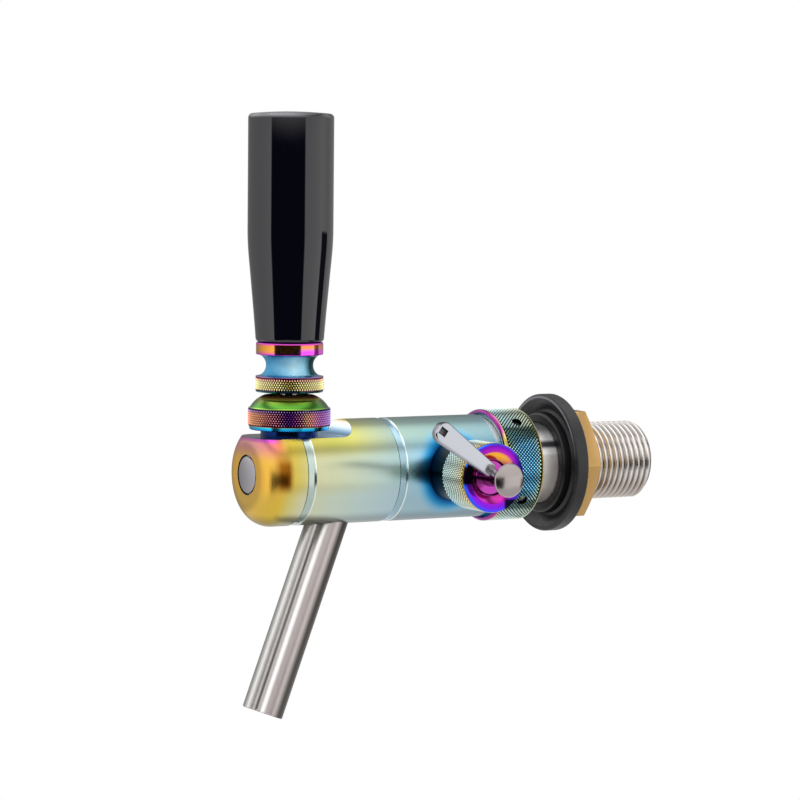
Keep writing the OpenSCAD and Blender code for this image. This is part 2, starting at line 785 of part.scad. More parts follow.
// Bush that guides the stem and fills the side nut's mouth.
module stem_bush() {
    groove_x = bush_inner_x + 7;
    color([0.72, 0.20, 0.55])
    turn_x([[flow_stem_r + run_clear, bush_inner_x], [bush_r, bush_inner_x],
            [bush_r, groove_x - 0.6], [bush_r - 0.9, groove_x - 0.6], [bush_r - 0.9, groove_x + 0.6],
            [bush_r, groove_x + 0.6], [bush_r, bush_flange_x],
            [side_thread_r - 0.4, bush_flange_x], [side_thread_r - 0.4, bush_flange_x + bush_flange_t],
            [bush_r, bush_flange_x + bush_flange_t], [bush_r, sink_floor_x - 0.3],
            [bush_r - 0.3, sink_floor_x], [flow_stem_r + run_clear, sink_floor_x]]);
}

// Ring seal between the bush and the boss.
module bush_oring() {
    color([0.12, 0.12, 0.12])
    translate([0, side_y, 0])
        rotate([0, 90, 0])
            seal_ring(bush_r - 0.44, bush_inner_x + 7, 0.45);
}

// Knurled nut on the side boss, countersunk in its face.
module side_nut() {
    edge = 0.35;
    web_x = bush_flange_x + bush_flange_t + 0.05;
    color([0.62, 0.30, 0.72])
    turn_x([[side_thread_r + fit_clear, side_nut_x], [side_nut_r - edge, side_nut_x],
            [side_nut_r, side_nut_x + edge], [side_nut_r, side_face_x - 0.9],
            [side_nut_r - 0.15, side_face_x - 0.5], [side_nut_r - edge, side_face_x],
            [sink_r, side_face_x], [nut_hole_r, sink_floor_x], [nut_hole_r, web_x],
            [side_thread_r + fit_clear, web_x]]);
}

// Outline of the flow lever's paddle, drawn along +Y and inset by c.
module arm_outline(c) {
    tip_corner = flow_arm_tip_w / 2 - 0.3;
    hull() {
        for (s = [-1, 1]) {
            translate([s * (flow_arm_tip_w / 2 - tip_corner), flow_arm_len - tip_corner])
                circle(tip_corner - c, $fn = 32);
            translate([s * (flow_arm_root_w / 2 - 0.9), arm_root + 0.9])
                circle(0.9 - c, $fn = 24);
        }
    }
}

// Flow lever: rounded paddle, with the screwed neck that enters the stem's head.
module flow_lever() {
    color([0.82, 0.82, 0.84])
    translate([arm_face_x - flow_arm_t / 2, side_y, 0])
        rotate([180 - flow_arm_angle, 0, 0])
            union() {
                hull()
                    for (i = [-4:4]) let(t = 90 * i / 4)
                        translate([(flow_arm_t / 2 - 0.02) * sin(t) - 0.01, 0, 0])
                            rotate([0, 90, 0])
                                linear_extrude(0.02)
                                    arm_outline(arm_chamfer * (1 - cos(t)));
                translate([0, 0.5, 0])
                    rotate([-90, 0, 0])
                        cylinder(r = arm_neck_r, h = arm_root + 1);
            }
}

// Ring in the tail's groove, which the coupling nut pulls back against.
module retaining_ring() {
    color([0.70, 0.70, 0.70])
    difference() {
        rod_y(ring_out_r, lip_y + ring_groove_clear, lip_y + ring_groove_clear + ring_t);
        rod_y(ring_in_r, lip_y - 1, lip_y + ring_t + 1);
    }
}

// Washer between the body's tail and the shank.
module coupling_washer() {
    color([0.20, 0.20, 0.20])
    difference() {
        rod_y(tail_r - 1.2, tail_y, head_front_y);
        rod_y(cone_small_r, tail_y - 1, head_front_y + 1);
    }
}

// Knurled coupling nut with spanner holes.
module coupling_nut() {
    crest_r = collar_r - lip_crest;
    color([0.45, 0.68, 0.72])
    difference() {
        turn_y([[collar_lip_r, sink_y], [crest_r - 0.25, collar_front_y], [crest_r, collar_front_y],
                [collar_r, collar_front_y + 0.9], [collar_r, collar_rear_y - 0.4],
                [collar_r - 0.4, collar_rear_y], [collar_thread_r, collar_rear_y],
                [collar_thread_r, lip_y], [collar_lip_r, lip_y]]);
        for (i = [0:spanner_count - 1])
            translate([0, collar_front_y + 6.8, 0])
                rotate([0, 90 - spanner_angle - 360 * i / spanner_count, 0])
                    translate([0, 0, collar_thread_r - 0.5])
                        cylinder(r = spanner_r, h = 4, $fn = 48);
    }
}

// Shank: head inside the coupling nut, plain length, and the thread.
module shank() {
    core_r = thread_r - thread_depth;
    bore_sink = 0.6;
    color([0.75, 0.74, 0.72])
    difference() {
        turn_y([[0, head_front_y], [shank_head_r - 0.4, head_front_y],
                [shank_head_r, head_front_y + 0.4], [shank_head_r, head_rear_y],
                [shank_r, head_rear_y], [shank_r, hub_y + 0.5], [thread_r, hub_y + 0.5],
                [thread_r, flange_rear_y], [core_r, flange_rear_y], [core_r, 0],
                [thread_r, 0], [thread_r, thread_len - shank_chamfer],
                [thread_r - shank_chamfer, thread_len], [0, thread_len]]);
        rod_y(shank_bore_r, head_front_y - 1, thread_len + 1);
        turn_y([[0, thread_len - bore_sink], [shank_bore_r, thread_len - bore_sink],
                [shank_bore_r + bore_sink, thread_len + eps], [0, thread_len + eps]]);
    }
}

// Moulded wall flange with its dished front and hub ring.
module wall_flange() {
    bore_r = thread_r + 0.14;
    seat_y0 = hub_y + 0.55;
    rim_round = 0.6;
    hub_round = 0.7;
    color([0.10, 0.10, 0.11])
    turn_y(concat(
        [[bore_r, flange_rear_y - 0.02], [bore_r, seat_y0], [shank_r + 0.35, seat_y0],
         [shank_r + 0.35, hub_y]],
        arc(hub_r - hub_round, hub_y + hub_round, hub_round, -90, 0, 5),
        [[hub_r + 0.2, flange_rim_y + dish_depth - 0.6], [hub_r + 1.0, flange_rim_y + dish_depth],
         [flange_r - 2.6, flange_rim_y + 0.7], [flange_r - 1.3, flange_rim_y]],
        arc(flange_r - rim_round, flange_rim_y + rim_round, rim_round, -80, 0, 5),
        arc(flange_r - rim_round, flange_rear_y - 0.02 - rim_round, rim_round, 0, 90, 5)));
}

// Brass wall nut, chamfered on its rear face.
module hex_nut() {
    corner_r = nut_af / 2 / cos(30);
    chamfer = 1.0;
    color([0.78, 0.62, 0.30])
    difference() {
        intersection() {
            translate([0, flange_rear_y, 0])
                rotate([-90, 0, 0])
                    cylinder(r = corner_r, h = nut_t, $fn = 6);
            turn_y([[0, flange_rear_y], [corner_r + 1, flange_rear_y], [corner_r + 1, -chamfer],
                    [corner_r - 1.2, 0], [0, 0]]);
        }
        rod_y(thread_r - thread_depth + fit_clear, flange_rear_y - 1, 1);
    }
}

front_body();
nose_plug();
plug_oring();
spout();
bonnet();
ball_seat();
ball_packing();
ball_lever();
handle_ferrule();
handle_insert();
handle_grip();
shuttle();
valve_seat();
valve_seal();
valve_disc();
valve_nut();
rear_body();
joint_oring();
compensator();
flow_stem();
stem_orings();
stem_bush();
bush_oring();
side_nut();
flow_lever();
retaining_ring();
coupling_washer();
coupling_nut();
shank();
wall_flange();
hex_nut();
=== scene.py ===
"""Looks of the flow control beer tap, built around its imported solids.

Sizes are in millimetres in the part's own frame: the origin is on the shank's axis at the rear
face of the wall nut, +Y runs back along the shank, +X is the flow lever's side and +Z is up.
"""

import logging
import math
from collections.abc import Callable
from dataclasses import dataclass
from enum import Enum

import bmesh
import bpy
from mathutils import Matrix, Vector


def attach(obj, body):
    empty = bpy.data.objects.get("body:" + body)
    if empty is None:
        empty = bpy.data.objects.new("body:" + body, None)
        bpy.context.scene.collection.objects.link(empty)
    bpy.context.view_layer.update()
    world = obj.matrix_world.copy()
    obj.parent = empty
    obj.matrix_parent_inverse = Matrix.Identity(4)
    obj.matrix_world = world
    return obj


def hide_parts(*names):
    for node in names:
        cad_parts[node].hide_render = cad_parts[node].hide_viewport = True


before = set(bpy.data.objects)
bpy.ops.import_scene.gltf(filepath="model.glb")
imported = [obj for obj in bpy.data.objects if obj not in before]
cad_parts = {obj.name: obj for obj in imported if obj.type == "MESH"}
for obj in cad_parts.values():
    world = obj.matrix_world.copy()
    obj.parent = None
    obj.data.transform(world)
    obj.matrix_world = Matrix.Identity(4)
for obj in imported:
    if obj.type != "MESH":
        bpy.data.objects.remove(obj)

LOG = logging.getLogger("tap")
Profile = list[tuple[float, float]]
Stops = tuple[tuple[float, float], ...]
Piece = bpy.types.Object
Tree = bpy.types.NodeTree
Node = bpy.types.Node
Socket = bpy.types.NodeSocket
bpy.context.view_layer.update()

NOSE_Y = -105.0
HANDLE_Y = -92.0
JOINT_Y = -64.8
SIDE_Y = -47.2
BALL_Z = 13.6
FLAT_Z = 10.3
MERGE_M = 1e-6
FULL_TURN = 2 * math.pi


def mm(value: float) -> float:
    """Millimetres to metres."""
    return value * 0.001


class Axis(Enum):
    """The axes that turned pieces are spun about: a point on each, its direction and a radius."""

    SHANK = ((0.0, 0.0, 0.0), (0.0, 1.0, 0.0), (1.0, 0.0, 0.0))
    HANDLE = ((0.0, HANDLE_Y, 0.0), (0.0, 0.0, 1.0), (1.0, 0.0, 0.0))
    SIDE = ((0.0, SIDE_Y, 0.0), (1.0, 0.0, 0.0), (0.0, 1.0, 0.0))

    @property
    def centre(self) -> Vector:
        """Point on the axis at station 0, in metres."""
        return Vector(self.value[0]) * 0.001

    @property
    def along(self) -> Vector:
        """Direction of the axis."""
        return Vector(self.value[1])

    def at(self, radius: float, station: float) -> Vector:
        """Point at a radius and station, in metres."""
        return self.centre + Vector(self.value[2]) * mm(radius) + self.along * mm(station)

    def polar(self, point: Vector) -> tuple[float, float]:
        """Measure a point from the axis.

        Args:
            point: the point, in metres.

        Returns:
            Its radius and station, in millimetres.
        """
        offset = (point - self.centre) * 1000
        station = offset.dot(self.along)
        return (offset - self.along * station).length, station


def arc(cx: float, cy: float, r: float, start: float, end: float, count: int = 8) -> Profile:
    """Points of an arc about (cx, cy), from one angle in degrees to another."""
    turns = [math.radians(start + (end - start) * i / count) for i in range(count + 1)]
    return [(cx + r * math.cos(t), cy + r * math.sin(t)) for t in turns]


def flow(points: Profile, per: int = 4) -> Profile:
    """Smooth curve through points.

    Args:
        points: the points that the curve passes through.
        per: how many steps it takes between two of them.

    Returns:
        The curve's points, both ends included.
    """
    padded = [points[0], *points, points[-1]]
    curve = []
    for a, b, c, d in zip(padded, padded[1:], padded[2:], padded[3:]):
        for i in range(per):
            t = i / per
            curve.append(tuple(
                0.5 * (2 * q + (r - p) * t + (2 * p - 5 * q + 4 * r - s) * t * t
                       + (3 * q - p - 3 * r + s) * t ** 3)
                for p, q, r, s in zip(a, b, c, d)))
    return [*curve, points[-1]]


def rows(radius: float, start: float, end: float, count: int) -> Profile:
    """Profile points at one radius, which leave a band of equal rows when spun."""
    return [(radius, start + (end - start) * i / count) for i in range(count + 1)]


def only(piece: Piece) -> None:
    """Leave one object selected and active.

    Args:
        piece: the object.
    """
    bpy.ops.object.select_all(action="DESELECT")
    piece.select_set(True)
    bpy.context.view_layer.objects.active = piece


def apply_place() -> None:
    """Work the selected object's place, turn and scale into its mesh."""
    bpy.ops.object.transform_apply(location=True, rotation=True, scale=True)


def trace(name: str, points: list[Vector]) -> Piece:
    """Start a piece as a line of edges.

    Args:
        name: the new object's name.
        points: the line's corners, in metres.

    Returns:
        The object, left in edit mode with all of it selected.
    """
    bpy.ops.object.select_all(action="DESELECT")
    bpy.ops.mesh.primitive_plane_add(size=mm(1))
    piece = bpy.context.object
    piece.name = piece.data.name = name
    bpy.ops.object.mode_set(mode="EDIT")
    bpy.ops.mesh.select_mode(type="VERT")
    bpy.ops.mesh.select_all(action="SELECT")
    bpy.ops.mesh.merge(type="CENTER")
    bpy.ops.transform.translate(value=points[0])
    for start, end in zip(points, points[1:]):
        bpy.ops.mesh.extrude_vertices_move(TRANSFORM_OT_translate={"value": end - start})
    bpy.ops.mesh.select_all(action="SELECT")
    return piece


def close_up() -> None:
    """Merge what meets in the piece in edit mode, turn its faces outwards and leave edit mode."""
    bpy.ops.mesh.select_all(action="SELECT")
    bpy.ops.mesh.remove_doubles(threshold=MERGE_M)
    bpy.ops.mesh.normals_make_consistent(inside=False)
    bpy.ops.object.mode_set(mode="OBJECT")


def turn(name: str, axis: Axis, profile: Profile, steps: int = 96, ring: bool = False) -> Piece:
    """Spin a profile into a turned piece.

    Args:
        name: the new object's name.
        axis: the axis it is spun about.
        profile: radius and station of each corner.
        steps: steps in the full turn.
        ring: whether the profile closes on its first corner, round a bore.

    Returns:
        The closed piece, in object mode.
    """
    corners = [*profile, profile[0]] if ring else profile
    piece = trace(name, [axis.at(r, s) for r, s in corners])
    bpy.ops.mesh.spin(steps=steps, angle=FULL_TURN, center=axis.centre, axis=axis.along)
    close_up()
    return piece


def pick(piece: Piece, kind: str, wanted: Callable[[object], bool]) -> None:
    """Select some of the faces or edges of the piece in edit mode, and nothing else.

    Args:
        piece: the piece.
        kind: FACE or EDGE.
        wanted: tells whether one of them is selected.
    """
    bpy.ops.mesh.select_mode(type=kind)
    bpy.ops.mesh.select_all(action="DESELECT")
    mesh = bmesh.from_edit_mesh(piece.data)
    for part in mesh.faces if kind == "FACE" else mesh.edges:
        part.select_set(wanted(part))
    bmesh.update_edit_mesh(piece.data)


def knurl(piece: Piece, axis: Axis, radius: float, band: tuple[float, float],
          depth: float) -> None:
    """Raise a diamond knurl on a band of equal rows.

    Args:
        piece: the turned piece.
        axis: the axis that it was spun about.
        radius: the band's radius, which becomes the valleys' radius.
        band: the band's first and last station.
        depth: height of the diamonds over the valleys.
    """
    near_r, near_s = 0.02, 0.01
    corners = len(piece.data.vertices)

    def poked(part: object) -> int:
        """How many of a face's or an edge's corners the first poke made."""
        return sum(v.index >= corners for v in part.verts)

    only(piece)
    bpy.ops.object.mode_set(mode="EDIT")
    pick(piece, "FACE", lambda face: all(
        abs(r - radius) < near_r and band[0] - near_s < s < band[1] + near_s
        for r, s in (axis.polar(v.co) for v in face.verts)))
    bpy.ops.mesh.poke()
    pick(piece, "EDGE", lambda edge: poked(edge) == 0 and all(poked(f) for f in edge.link_faces))
    bpy.ops.mesh.dissolve_edges(use_verts=False)
    pick(piece, "FACE", lambda face: len(face.verts) == 4 and poked(face) == 2)
    bpy.ops.mesh.poke(offset=mm(depth))
    bpy.ops.mesh.select_mode(type="VERT")
    bpy.ops.object.mode_set(mode="OBJECT")


def modify(piece: Piece, kind: str, **settings: object) -> None:
    """Add a modifier to a piece and apply it.

    Args:
        piece: the piece.
        kind: the modifier's type.
        settings: its properties.
    """
    only(piece)
    bpy.ops.object.modifier_add(type=kind)
    modifier = piece.modifiers[-1]
    for name, value in settings.items():
        setattr(modifier, name, value)
    bpy.ops.object.modifier_apply(modifier=modifier.name)


class Join(Enum):
    """What one solid does to another."""

    CUT = "DIFFERENCE"
    ADD = "UNION"
    KEEP_COMMON = "INTERSECT"


def combine(piece: Piece, tool: Piece, how: Join) -> None:
    """Cut, join or trim a piece with a tool's solid, and take the tool away."""
    modify(piece, "BOOLEAN", operation=how.value, solver="EXACT", object=tool)
    bpy.data.objects.remove(tool)


def soften(piece: Piece, width: float, segments: int = 3, sharp: float = 40.0) -> None:
    """Round a piece's edges sharper than an angle in degrees, to a width in millimetres."""
    modify(piece, "BEVEL", width=mm(width), segments=segments, limit_method="ANGLE",
           angle_limit=math.radians(sharp))


def rod(name: str, start: Vector, end: Vector, radius: float, sides: int = 32) -> Piece:
    """Plain cylinder between two points, for cutting or joining.

    Args:
        name: the new object's name.
        start: middle of one end, in millimetres.
        end: middle of the other.
        radius: its radius.
        sides: how many flats it has round it.

    Returns:
        The cylinder, in object mode.
    """
    run = end - start
    bpy.ops.object.select_all(action="DESELECT")
    bpy.ops.mesh.primitive_cylinder_add(
        vertices=sides, radius=mm(radius), depth=mm(run.length),
        location=(start + end) * 0.0005, rotation=run.to_track_quat("Z", "Y").to_euler())
    piece = bpy.context.object
    piece.name = name
    apply_place()
    return piece


def linear(colour: str) -> tuple[float, float, float, float]:
    """Turn an sRGB colour linear.

    Args:
        colour: a hash and six hex digits.

    Returns:
        Linear red, green, blue and alpha.
    """
    parts = [int(colour[i:i + 2], 16) / 255 for i in (1, 3, 5)]
    red, green, blue = (c / 12.92 if c <= 0.04045 else ((c + 0.055) / 1.055) ** 2.4 for c in parts)
    return red, green, blue, 1.0


def blank(owner: bpy.types.ID) -> Tree:
    """Turn on the node tree of a material or a world, and empty it.

    Args:
        owner: the material or the world.

    Returns:
        The empty tree.
    """
    owner.use_nodes = True
    owner.node_tree.nodes.clear()
    return owner.node_tree


def add(tree: Tree, kind: str, inputs: dict | None = None,
        stops: list | None = None, **settings: object) -> Node:
    """Add a node with its settings and links.

    Args:
        tree: the node tree.
        kind: the node's type, without its ShaderNode prefix.
        inputs: socket name or number to a value, or to what is linked to it: an output socket,
            or a node, which stands for the first of its outputs that is in use.
        stops: position and colour of each stop, where the node has a ramp.
        settings: the node's own properties.

    Returns:
        The node.
    """
    node = tree.nodes.new("ShaderNode" + kind)
    for name, value in settings.items():
        setattr(node, name, value)
    for socket, value in (inputs or {}).items():
        if isinstance(value, Node):
            value = next(output for output in value.outputs if output.enabled)
        if isinstance(value, Socket):
            tree.links.new(value, node.inputs[socket])
        else:
            node.inputs[socket].default_value = value
    if stops:
        ramp = node.color_ramp
        while len(ramp.elements) > 1:
            ramp.elements.remove(ramp.elements[-1])
        ramp.elements[0].position, ramp.elements[0].color = stops[0]
        for position, colour in stops[1:]:
            ramp.elements.new(position).color = colour
    return node


class Coord(Enum):
    """A coordinate that a colour can follow: the axes it keeps, and the point it starts from.

    Two kept axes give a radius, one kept axis or a slanting direction a distance along it.
    """

    X = ((1, 0, 0), (0, 0, 0))
    Y = ((0, 1, 0), (0, 0, 0))
    Z = ((0, 0, 1), (0, 0, 0))
    SHANK_R = ((1, 0, 1), (0, 0, 0))
    HANDLE_R = ((1, 1, 0), (0, HANDLE_Y, 0))
    SIDE_R = ((0, 1, 1), (0, SIDE_Y, 0))
    LEVER_UP = ((0, 0.581, 0.814), (0, SIDE_Y, 0))
    SPOUT_BACK = ((0, 0.9354, -0.3535), (0, -79.0, -14.52))

    def node(self, tree: Tree) -> Node:
        """Follow the coordinate on a piece.

        Args:
            tree: the material's node tree.

        Returns:
            The coordinate in millimetres, from the piece's Object coordinates.
        """
        kept, start = self.value
        place = add(tree, "TexCoord").outputs["Object"]
        scaled = add(tree, "VectorMath", {0: place, 1: (1000, 1000, 1000)}, operation="MULTIPLY")
        offset = add(tree, "VectorMath", {0: scaled, 1: start}, operation="SUBTRACT")
        if kept.count(1) != 2:
            return add(tree, "VectorMath", {0: offset, 1: kept}, operation="DOT_PRODUCT")
        flat = add(tree, "VectorMath", {0: offset, 1: kept}, operation="MULTIPLY")
        return add(tree, "VectorMath", {0: flat}, operation="LENGTH")


X, Y, Z = Coord.X, Coord.Y, Coord.Z
SHANK_R, HANDLE_R, SIDE_R = Coord.SHANK_R, Coord.HANDLE_R, Coord.SIDE_R


@dataclass(frozen=True)
class Ramp:
    """Colours along a coordinate, each at a station in millimetres."""

    along: Coord
    stops: tuple[tuple[float, str], ...]

    def node(self, tree: Tree) -> Node:
        """Add the ramp to a material.

        Args:
            tree: the material's node tree.

        Returns:
            The ramp's colour.
        """
        low, high = self.stops[0][0], self.stops[-1][0]
        span = add(tree, "MapRange", {0: self.along.node(tree), 1: low, 2: high})
        stops = [((at - low) / (high - low), linear(colour)) for at, colour in self.stops]
        return add(tree, "ValToRGB", {0: span}, stops)


def ink(tree: Tree, colour: Ramp | str) -> object:
    """A colour for a socket: a ramp's node, or a plain colour's value."""
    return colour.node(tree) if isinstance(colour, Ramp) else linear(colour)


@dataclass(frozen=True)
class Fade:
    """A share that goes from 0 to 1 between two stations of a coordinate."""

    along: Coord
    none_at: float
    full_at: float

    def node(self, tree: Tree) -> Node:
        """The share."""
        return add(tree, "MapRange", {0: self.along.node(tree), 1: self.none_at, 2: self.full_at},
                   interpolation_type="SMOOTHSTEP")


@dataclass(frozen=True)
class Layer:
    """Colours, a roughness and a metallic value that show where all the fades let them."""

    colours: Ramp | str
    fades: tuple[Fade, ...]
    blend: str = "MIX"
    roughness: float | None = None
    metallic: float | None = None

    def share(self, tree: Tree) -> Node:
        """Join the layer's fades.

        Args:
            tree: the material's node tree.

        Returns:
            How much of the layer shows.
        """
        total, *others = (fade.node(tree) for fade in self.fades)
        for share in others:
            total = add(tree, "Math", {0: total, 1: share}, operation="MULTIPLY")
        return total


@dataclass(frozen=True)
class Grain:
    """Fine surface texture: its size along X, Y and Z, its height and its share of roughness."""

    size: tuple[float, float, float]
    height: float
    spread: float


@dataclass(frozen=True)
class Finish:
    """A material: what it is made of and how its surface was made."""

    name: str
    colour: Ramp | str
    metallic: float = 1.0
    roughness: float = 0.25
    grain: Grain = Grain((0.6, 0.6, 0.6), 0.002, 0.03)
    layers: tuple[Layer, ...] = ()
    ior: float = 1.5

    def material(self) -> bpy.types.Material:
        """Build the material the first time it is asked for.

        Returns:
            The material.
        """
        if self.name in bpy.data.materials:
            return bpy.data.materials[self.name]
        made = bpy.data.materials.new(self.name)
        tree = blank(made)
        colour, roughness, metallic = self.surface(tree)
        place = add(tree, "TexCoord").outputs["Object"]
        sizes = tuple(1000 / s for s in self.grain.size)
        spread = add(tree, "VectorMath", {0: place, 1: sizes}, operation="MULTIPLY")
        noise = add(tree, "TexNoise", {"Vector": spread, "Scale": 1.0, "Detail": 3.0,
                                       "Roughness": 0.6})
        noise_low, noise_high = 0.3, 0.7
        change = add(tree, "MapRange", {0: noise, 1: noise_low, 2: noise_high,
                                        3: -self.grain.spread, 4: self.grain.spread})
        rough = add(tree, "Math", {0: change, 1: roughness}, operation="ADD")
        bump = add(tree, "Bump", {"Height": noise, "Strength": 1.0,
                                  "Distance": mm(self.grain.height)})
        inputs = {"Base Color": colour, "Roughness": rough, "Normal": bump, "Metallic": metallic}
        if self.metallic < 1:
            inputs["IOR"] = self.ior
        add(tree, "OutputMaterial", {"Surface": add(tree, "BsdfPrincipled", inputs)})
        return made

    def surface(self, tree: Tree) -> tuple[object, object, object]:
        """Lay every layer over the finish's own colour.

        Args:
            tree: the material's node tree.

        Returns:
            Colour, roughness and metallic, each a value or a node.
        """
        colour = ink(tree, self.colour)
        roughness, metallic = self.roughness, self.metallic
        for layer in self.layers:
            share = layer.share(tree)
            colour = add(tree, "Mix", {0: share, 6: colour, 7: ink(tree, layer.colours)},
                         data_type="RGBA", blend_type=layer.blend)
            if layer.roughness is not None:
                roughness = add(tree, "Mix", {0: share, 2: roughness, 3: layer.roughness})
            if layer.metallic is not None:
                metallic = add(tree, "Mix", {0: share, 2: metallic, 3: layer.metallic})
        return colour, roughness, metallic


def knurled(radius: Coord, valley: float, depth: float, along: Coord,
            band: tuple[float, float], pale: str, dark: str = "#0c0c10") -> tuple[Layer, Layer]:
    """Layers of a knurl: painted shade in the valleys, and a painted highlight on the diamonds'
    tips.

    Args:
        radius: the coordinate that rises from valley to tip.
        valley: radius of the valleys.
        depth: height of the diamonds.
        along: the coordinate along the band.
        band: the band's first and last station.
        pale: colour of the painted highlight on the tips.
        dark: what the colour is multiplied by in the valleys, as painted shade.

    Returns:
        The two layers.
    """
    outside, inside = 0.05, 0.1
    ends = (Fade(along, band[0] - outside, band[0] + inside),
            Fade(along, band[1] + outside, band[1] - inside))
    dark_to, plain_from, highlight_from, highlight_to = (valley + share * depth
                                               for share in (0.14, 0.46, 0.55, 0.95))
    # Painted shade in the valleys, and a painted highlight on the tips.
    valley_shade = Ramp(radius, ((valley, dark), (dark_to, dark), (plain_from, "#ffffff")))
    return Layer(valley_shade, ends, "MULTIPLY"), Layer(pale, (*ends, Fade(radius, highlight_from, highlight_to)))


def groove(start: float, end: float, pale: str, top: float) -> tuple[Layer, Layer]:
    """Layers of a turned groove along Y: its pale floor, a painted shadow at the front step and a
    painted highlight at the rear step.

    Args:
        start: station of the front step.
        end: station of the rear step.
        pale: colour of the floor.
        top: height over the shank's axis at which the groove ends.

    Returns:
        The two layers.
    """
    soft, glint, shadow = 0.04, 0.3, 0.42
    glint_colour = "#e4ece8"
    front = Fade(Y, start - soft, start)
    below_top = Fade(Z, top, top - 2 * soft)
    floor = Ramp(Y, ((start, pale), (end - glint, pale), (end - glint + 0.1, glint_colour),
                     (end, glint_colour)))
    # The floor ends in a painted highlight; the second layer is a painted shadow.
    return (Layer(floor, (front, Fade(Y, end + soft, end), below_top), roughness=0.24),
            Layer("#30302a", (front, Fade(Y, start + shadow, start + shadow - 0.12), below_top)))


# Turning leaves rings round the shank's axis, so these two are short along Y and long across it.
TURNED = Grain((3.0, 0.22, 3.0), 0.0004, 0.02)
TURNED_COARSE = Grain((3.0, 0.3, 3.0), 0.0006, 0.03)
# Blasting and moulding leave fine pits with no direction, and polishing a faint haze.
CAST = Grain((0.5, 0.5, 0.5), 0.004, 0.06)
POLISHED = Grain((0.8, 0.8, 0.8), 0.0004, 0.02)

# A thin film gives the satin steel colours that run from gold at the nose to teal. The top and the
# underside lean to other hues than the sides, partly film colour and partly painted reflection, and
# there is painted shade low down. The scooped flat over the nose goes navy, and the scoop's wall
# blue to a white painted highlight.
FRONT_TINT = Finish(
    "pvd_gold_satin_turned",
    Ramp(Y, (
        (NOSE_Y, "#e0ae46"), (-101, "#dcae4c"), (-98, "#c4aa4a"), (-95, "#c0b468"),
        (-90.8, "#c0c098"), (-84, "#bdc2a2"), (-78, "#b8c4ae"), (-70, "#aec4be"),
        (JOINT_Y, "#a2c0c0"))),
    roughness=0.3, grain=TURNED,
    layers=(
        # Top: film colour and painted reflection.
        Layer(
            Ramp(Y, (
                (NOSE_Y, "#c48484"), (-102.5, "#d8787c"), (-100.5, "#c87a50"), (-98.8, "#b89c44"),
                (-97, "#c0aa40"), (-92, "#b4ac58"), (-84, "#b0ae58"), (-78, "#bab866"),
                (-70, "#a6b08e"), (JOINT_Y, "#94aaa0"))),
            (Fade(Z, 3.5, 9.0),)),
        # Underside: film colour and painted reflection, paler than the sides.
        Layer(
            Ramp(Y, (
                (NOSE_Y, "#d4ac4c"), (-101, "#e0be4a"), (-98, "#d6cc80"), (-94, "#d4d4b4"),
                (-90, "#ced6b8"), (-84, "#c8d5c4"), (-76, "#bed2ce"), (JOINT_Y, "#b0c9d2"))),
            (Fade(Z, -1.5, -6.5),)),
        # Painted shade: darker towards the bottom.
        Layer("#b0b0b0", (Fade(Z, -10.0, -13.8),), "MULTIPLY"),
        Layer(
            Ramp(Y, ((NOSE_Y, "#8c5070"), (-102.5, "#d04cc8"), (-100, "#c4509c"))),
            (Fade(Z, 8.8, 10.0), Fade(Y, -99.5, -102.0))),
        # Painted reflection: a brown patch on the nose's +X side.
        Layer(
            Ramp(Y, (
                (-103.0, "#ffffff"), (-101.2, "#b08a60"), (-99.2, "#a88058"), (-97.6, "#ffffff"))),
            (Fade(Z, -5.0, -1.5), Fade(Z, 7.0, 3.0), Fade(X, 7.0, 10.0)),
            "MULTIPLY"),
        # Painted shadow and highlight at the nose groove's steps.
        *groove(-93.5, -90.86, "#b2c2b8", FLAT_Z - 0.02),
        Layer(
            Ramp(Y, ((-101, "#2e3450"), (-90, "#363f60"), (-86, "#447098"), (-82, "#8cb8dc"))),
            (Fade(Z, FLAT_Z - 0.2, FLAT_Z - 0.05), Fade(SHANK_R, 14.45, 14.3)),
            roughness=0.18),
        # The scoop's wall: blue rising to a white painted highlight near its top.
        Layer(
            Ramp(Z, (
                (10.4, "#6ca4d0"), (11.2, "#94ccf4"), (12.4, "#e8f6ff"), (13.4, "#f6fbff"),
                (13.8, "#e8e4cc"), (14.3, "#c8a458"))),
            (Fade(Z, FLAT_Z + 0.05, FLAT_Z + 0.4), Fade(SHANK_R, 14.45, 14.35),
             Fade(Y, -83.0, -81.0)),
            roughness=0.18),
        Layer(
            "#12285c",
            (Fade(HANDLE_R, 8.3, 8.0), Fade(Z, FLAT_Z - 0.2, FLAT_Z + 0.1)),
            roughness=0.2),
        Layer("#0c0a08", (Fade(SHANK_R, 5.62, 5.56), Fade(Y, -103.0, -103.6)))))

# A painted reflection, blue running to white with height, on what closes the joint: the body's end
# and the nut's inner lip.
JOINT_PAINTED_REFLECTION = Ramp(Z, (
    (-14, "#3c9cd0"), (-6, "#0c3c84"), (1, "#0c4490"), (4, "#1c78c4"), (6.5, "#58b8e8"),
    (8.5, "#f0fafc"), (12, "#f4fafc"), (14, "#a8ccd8")))
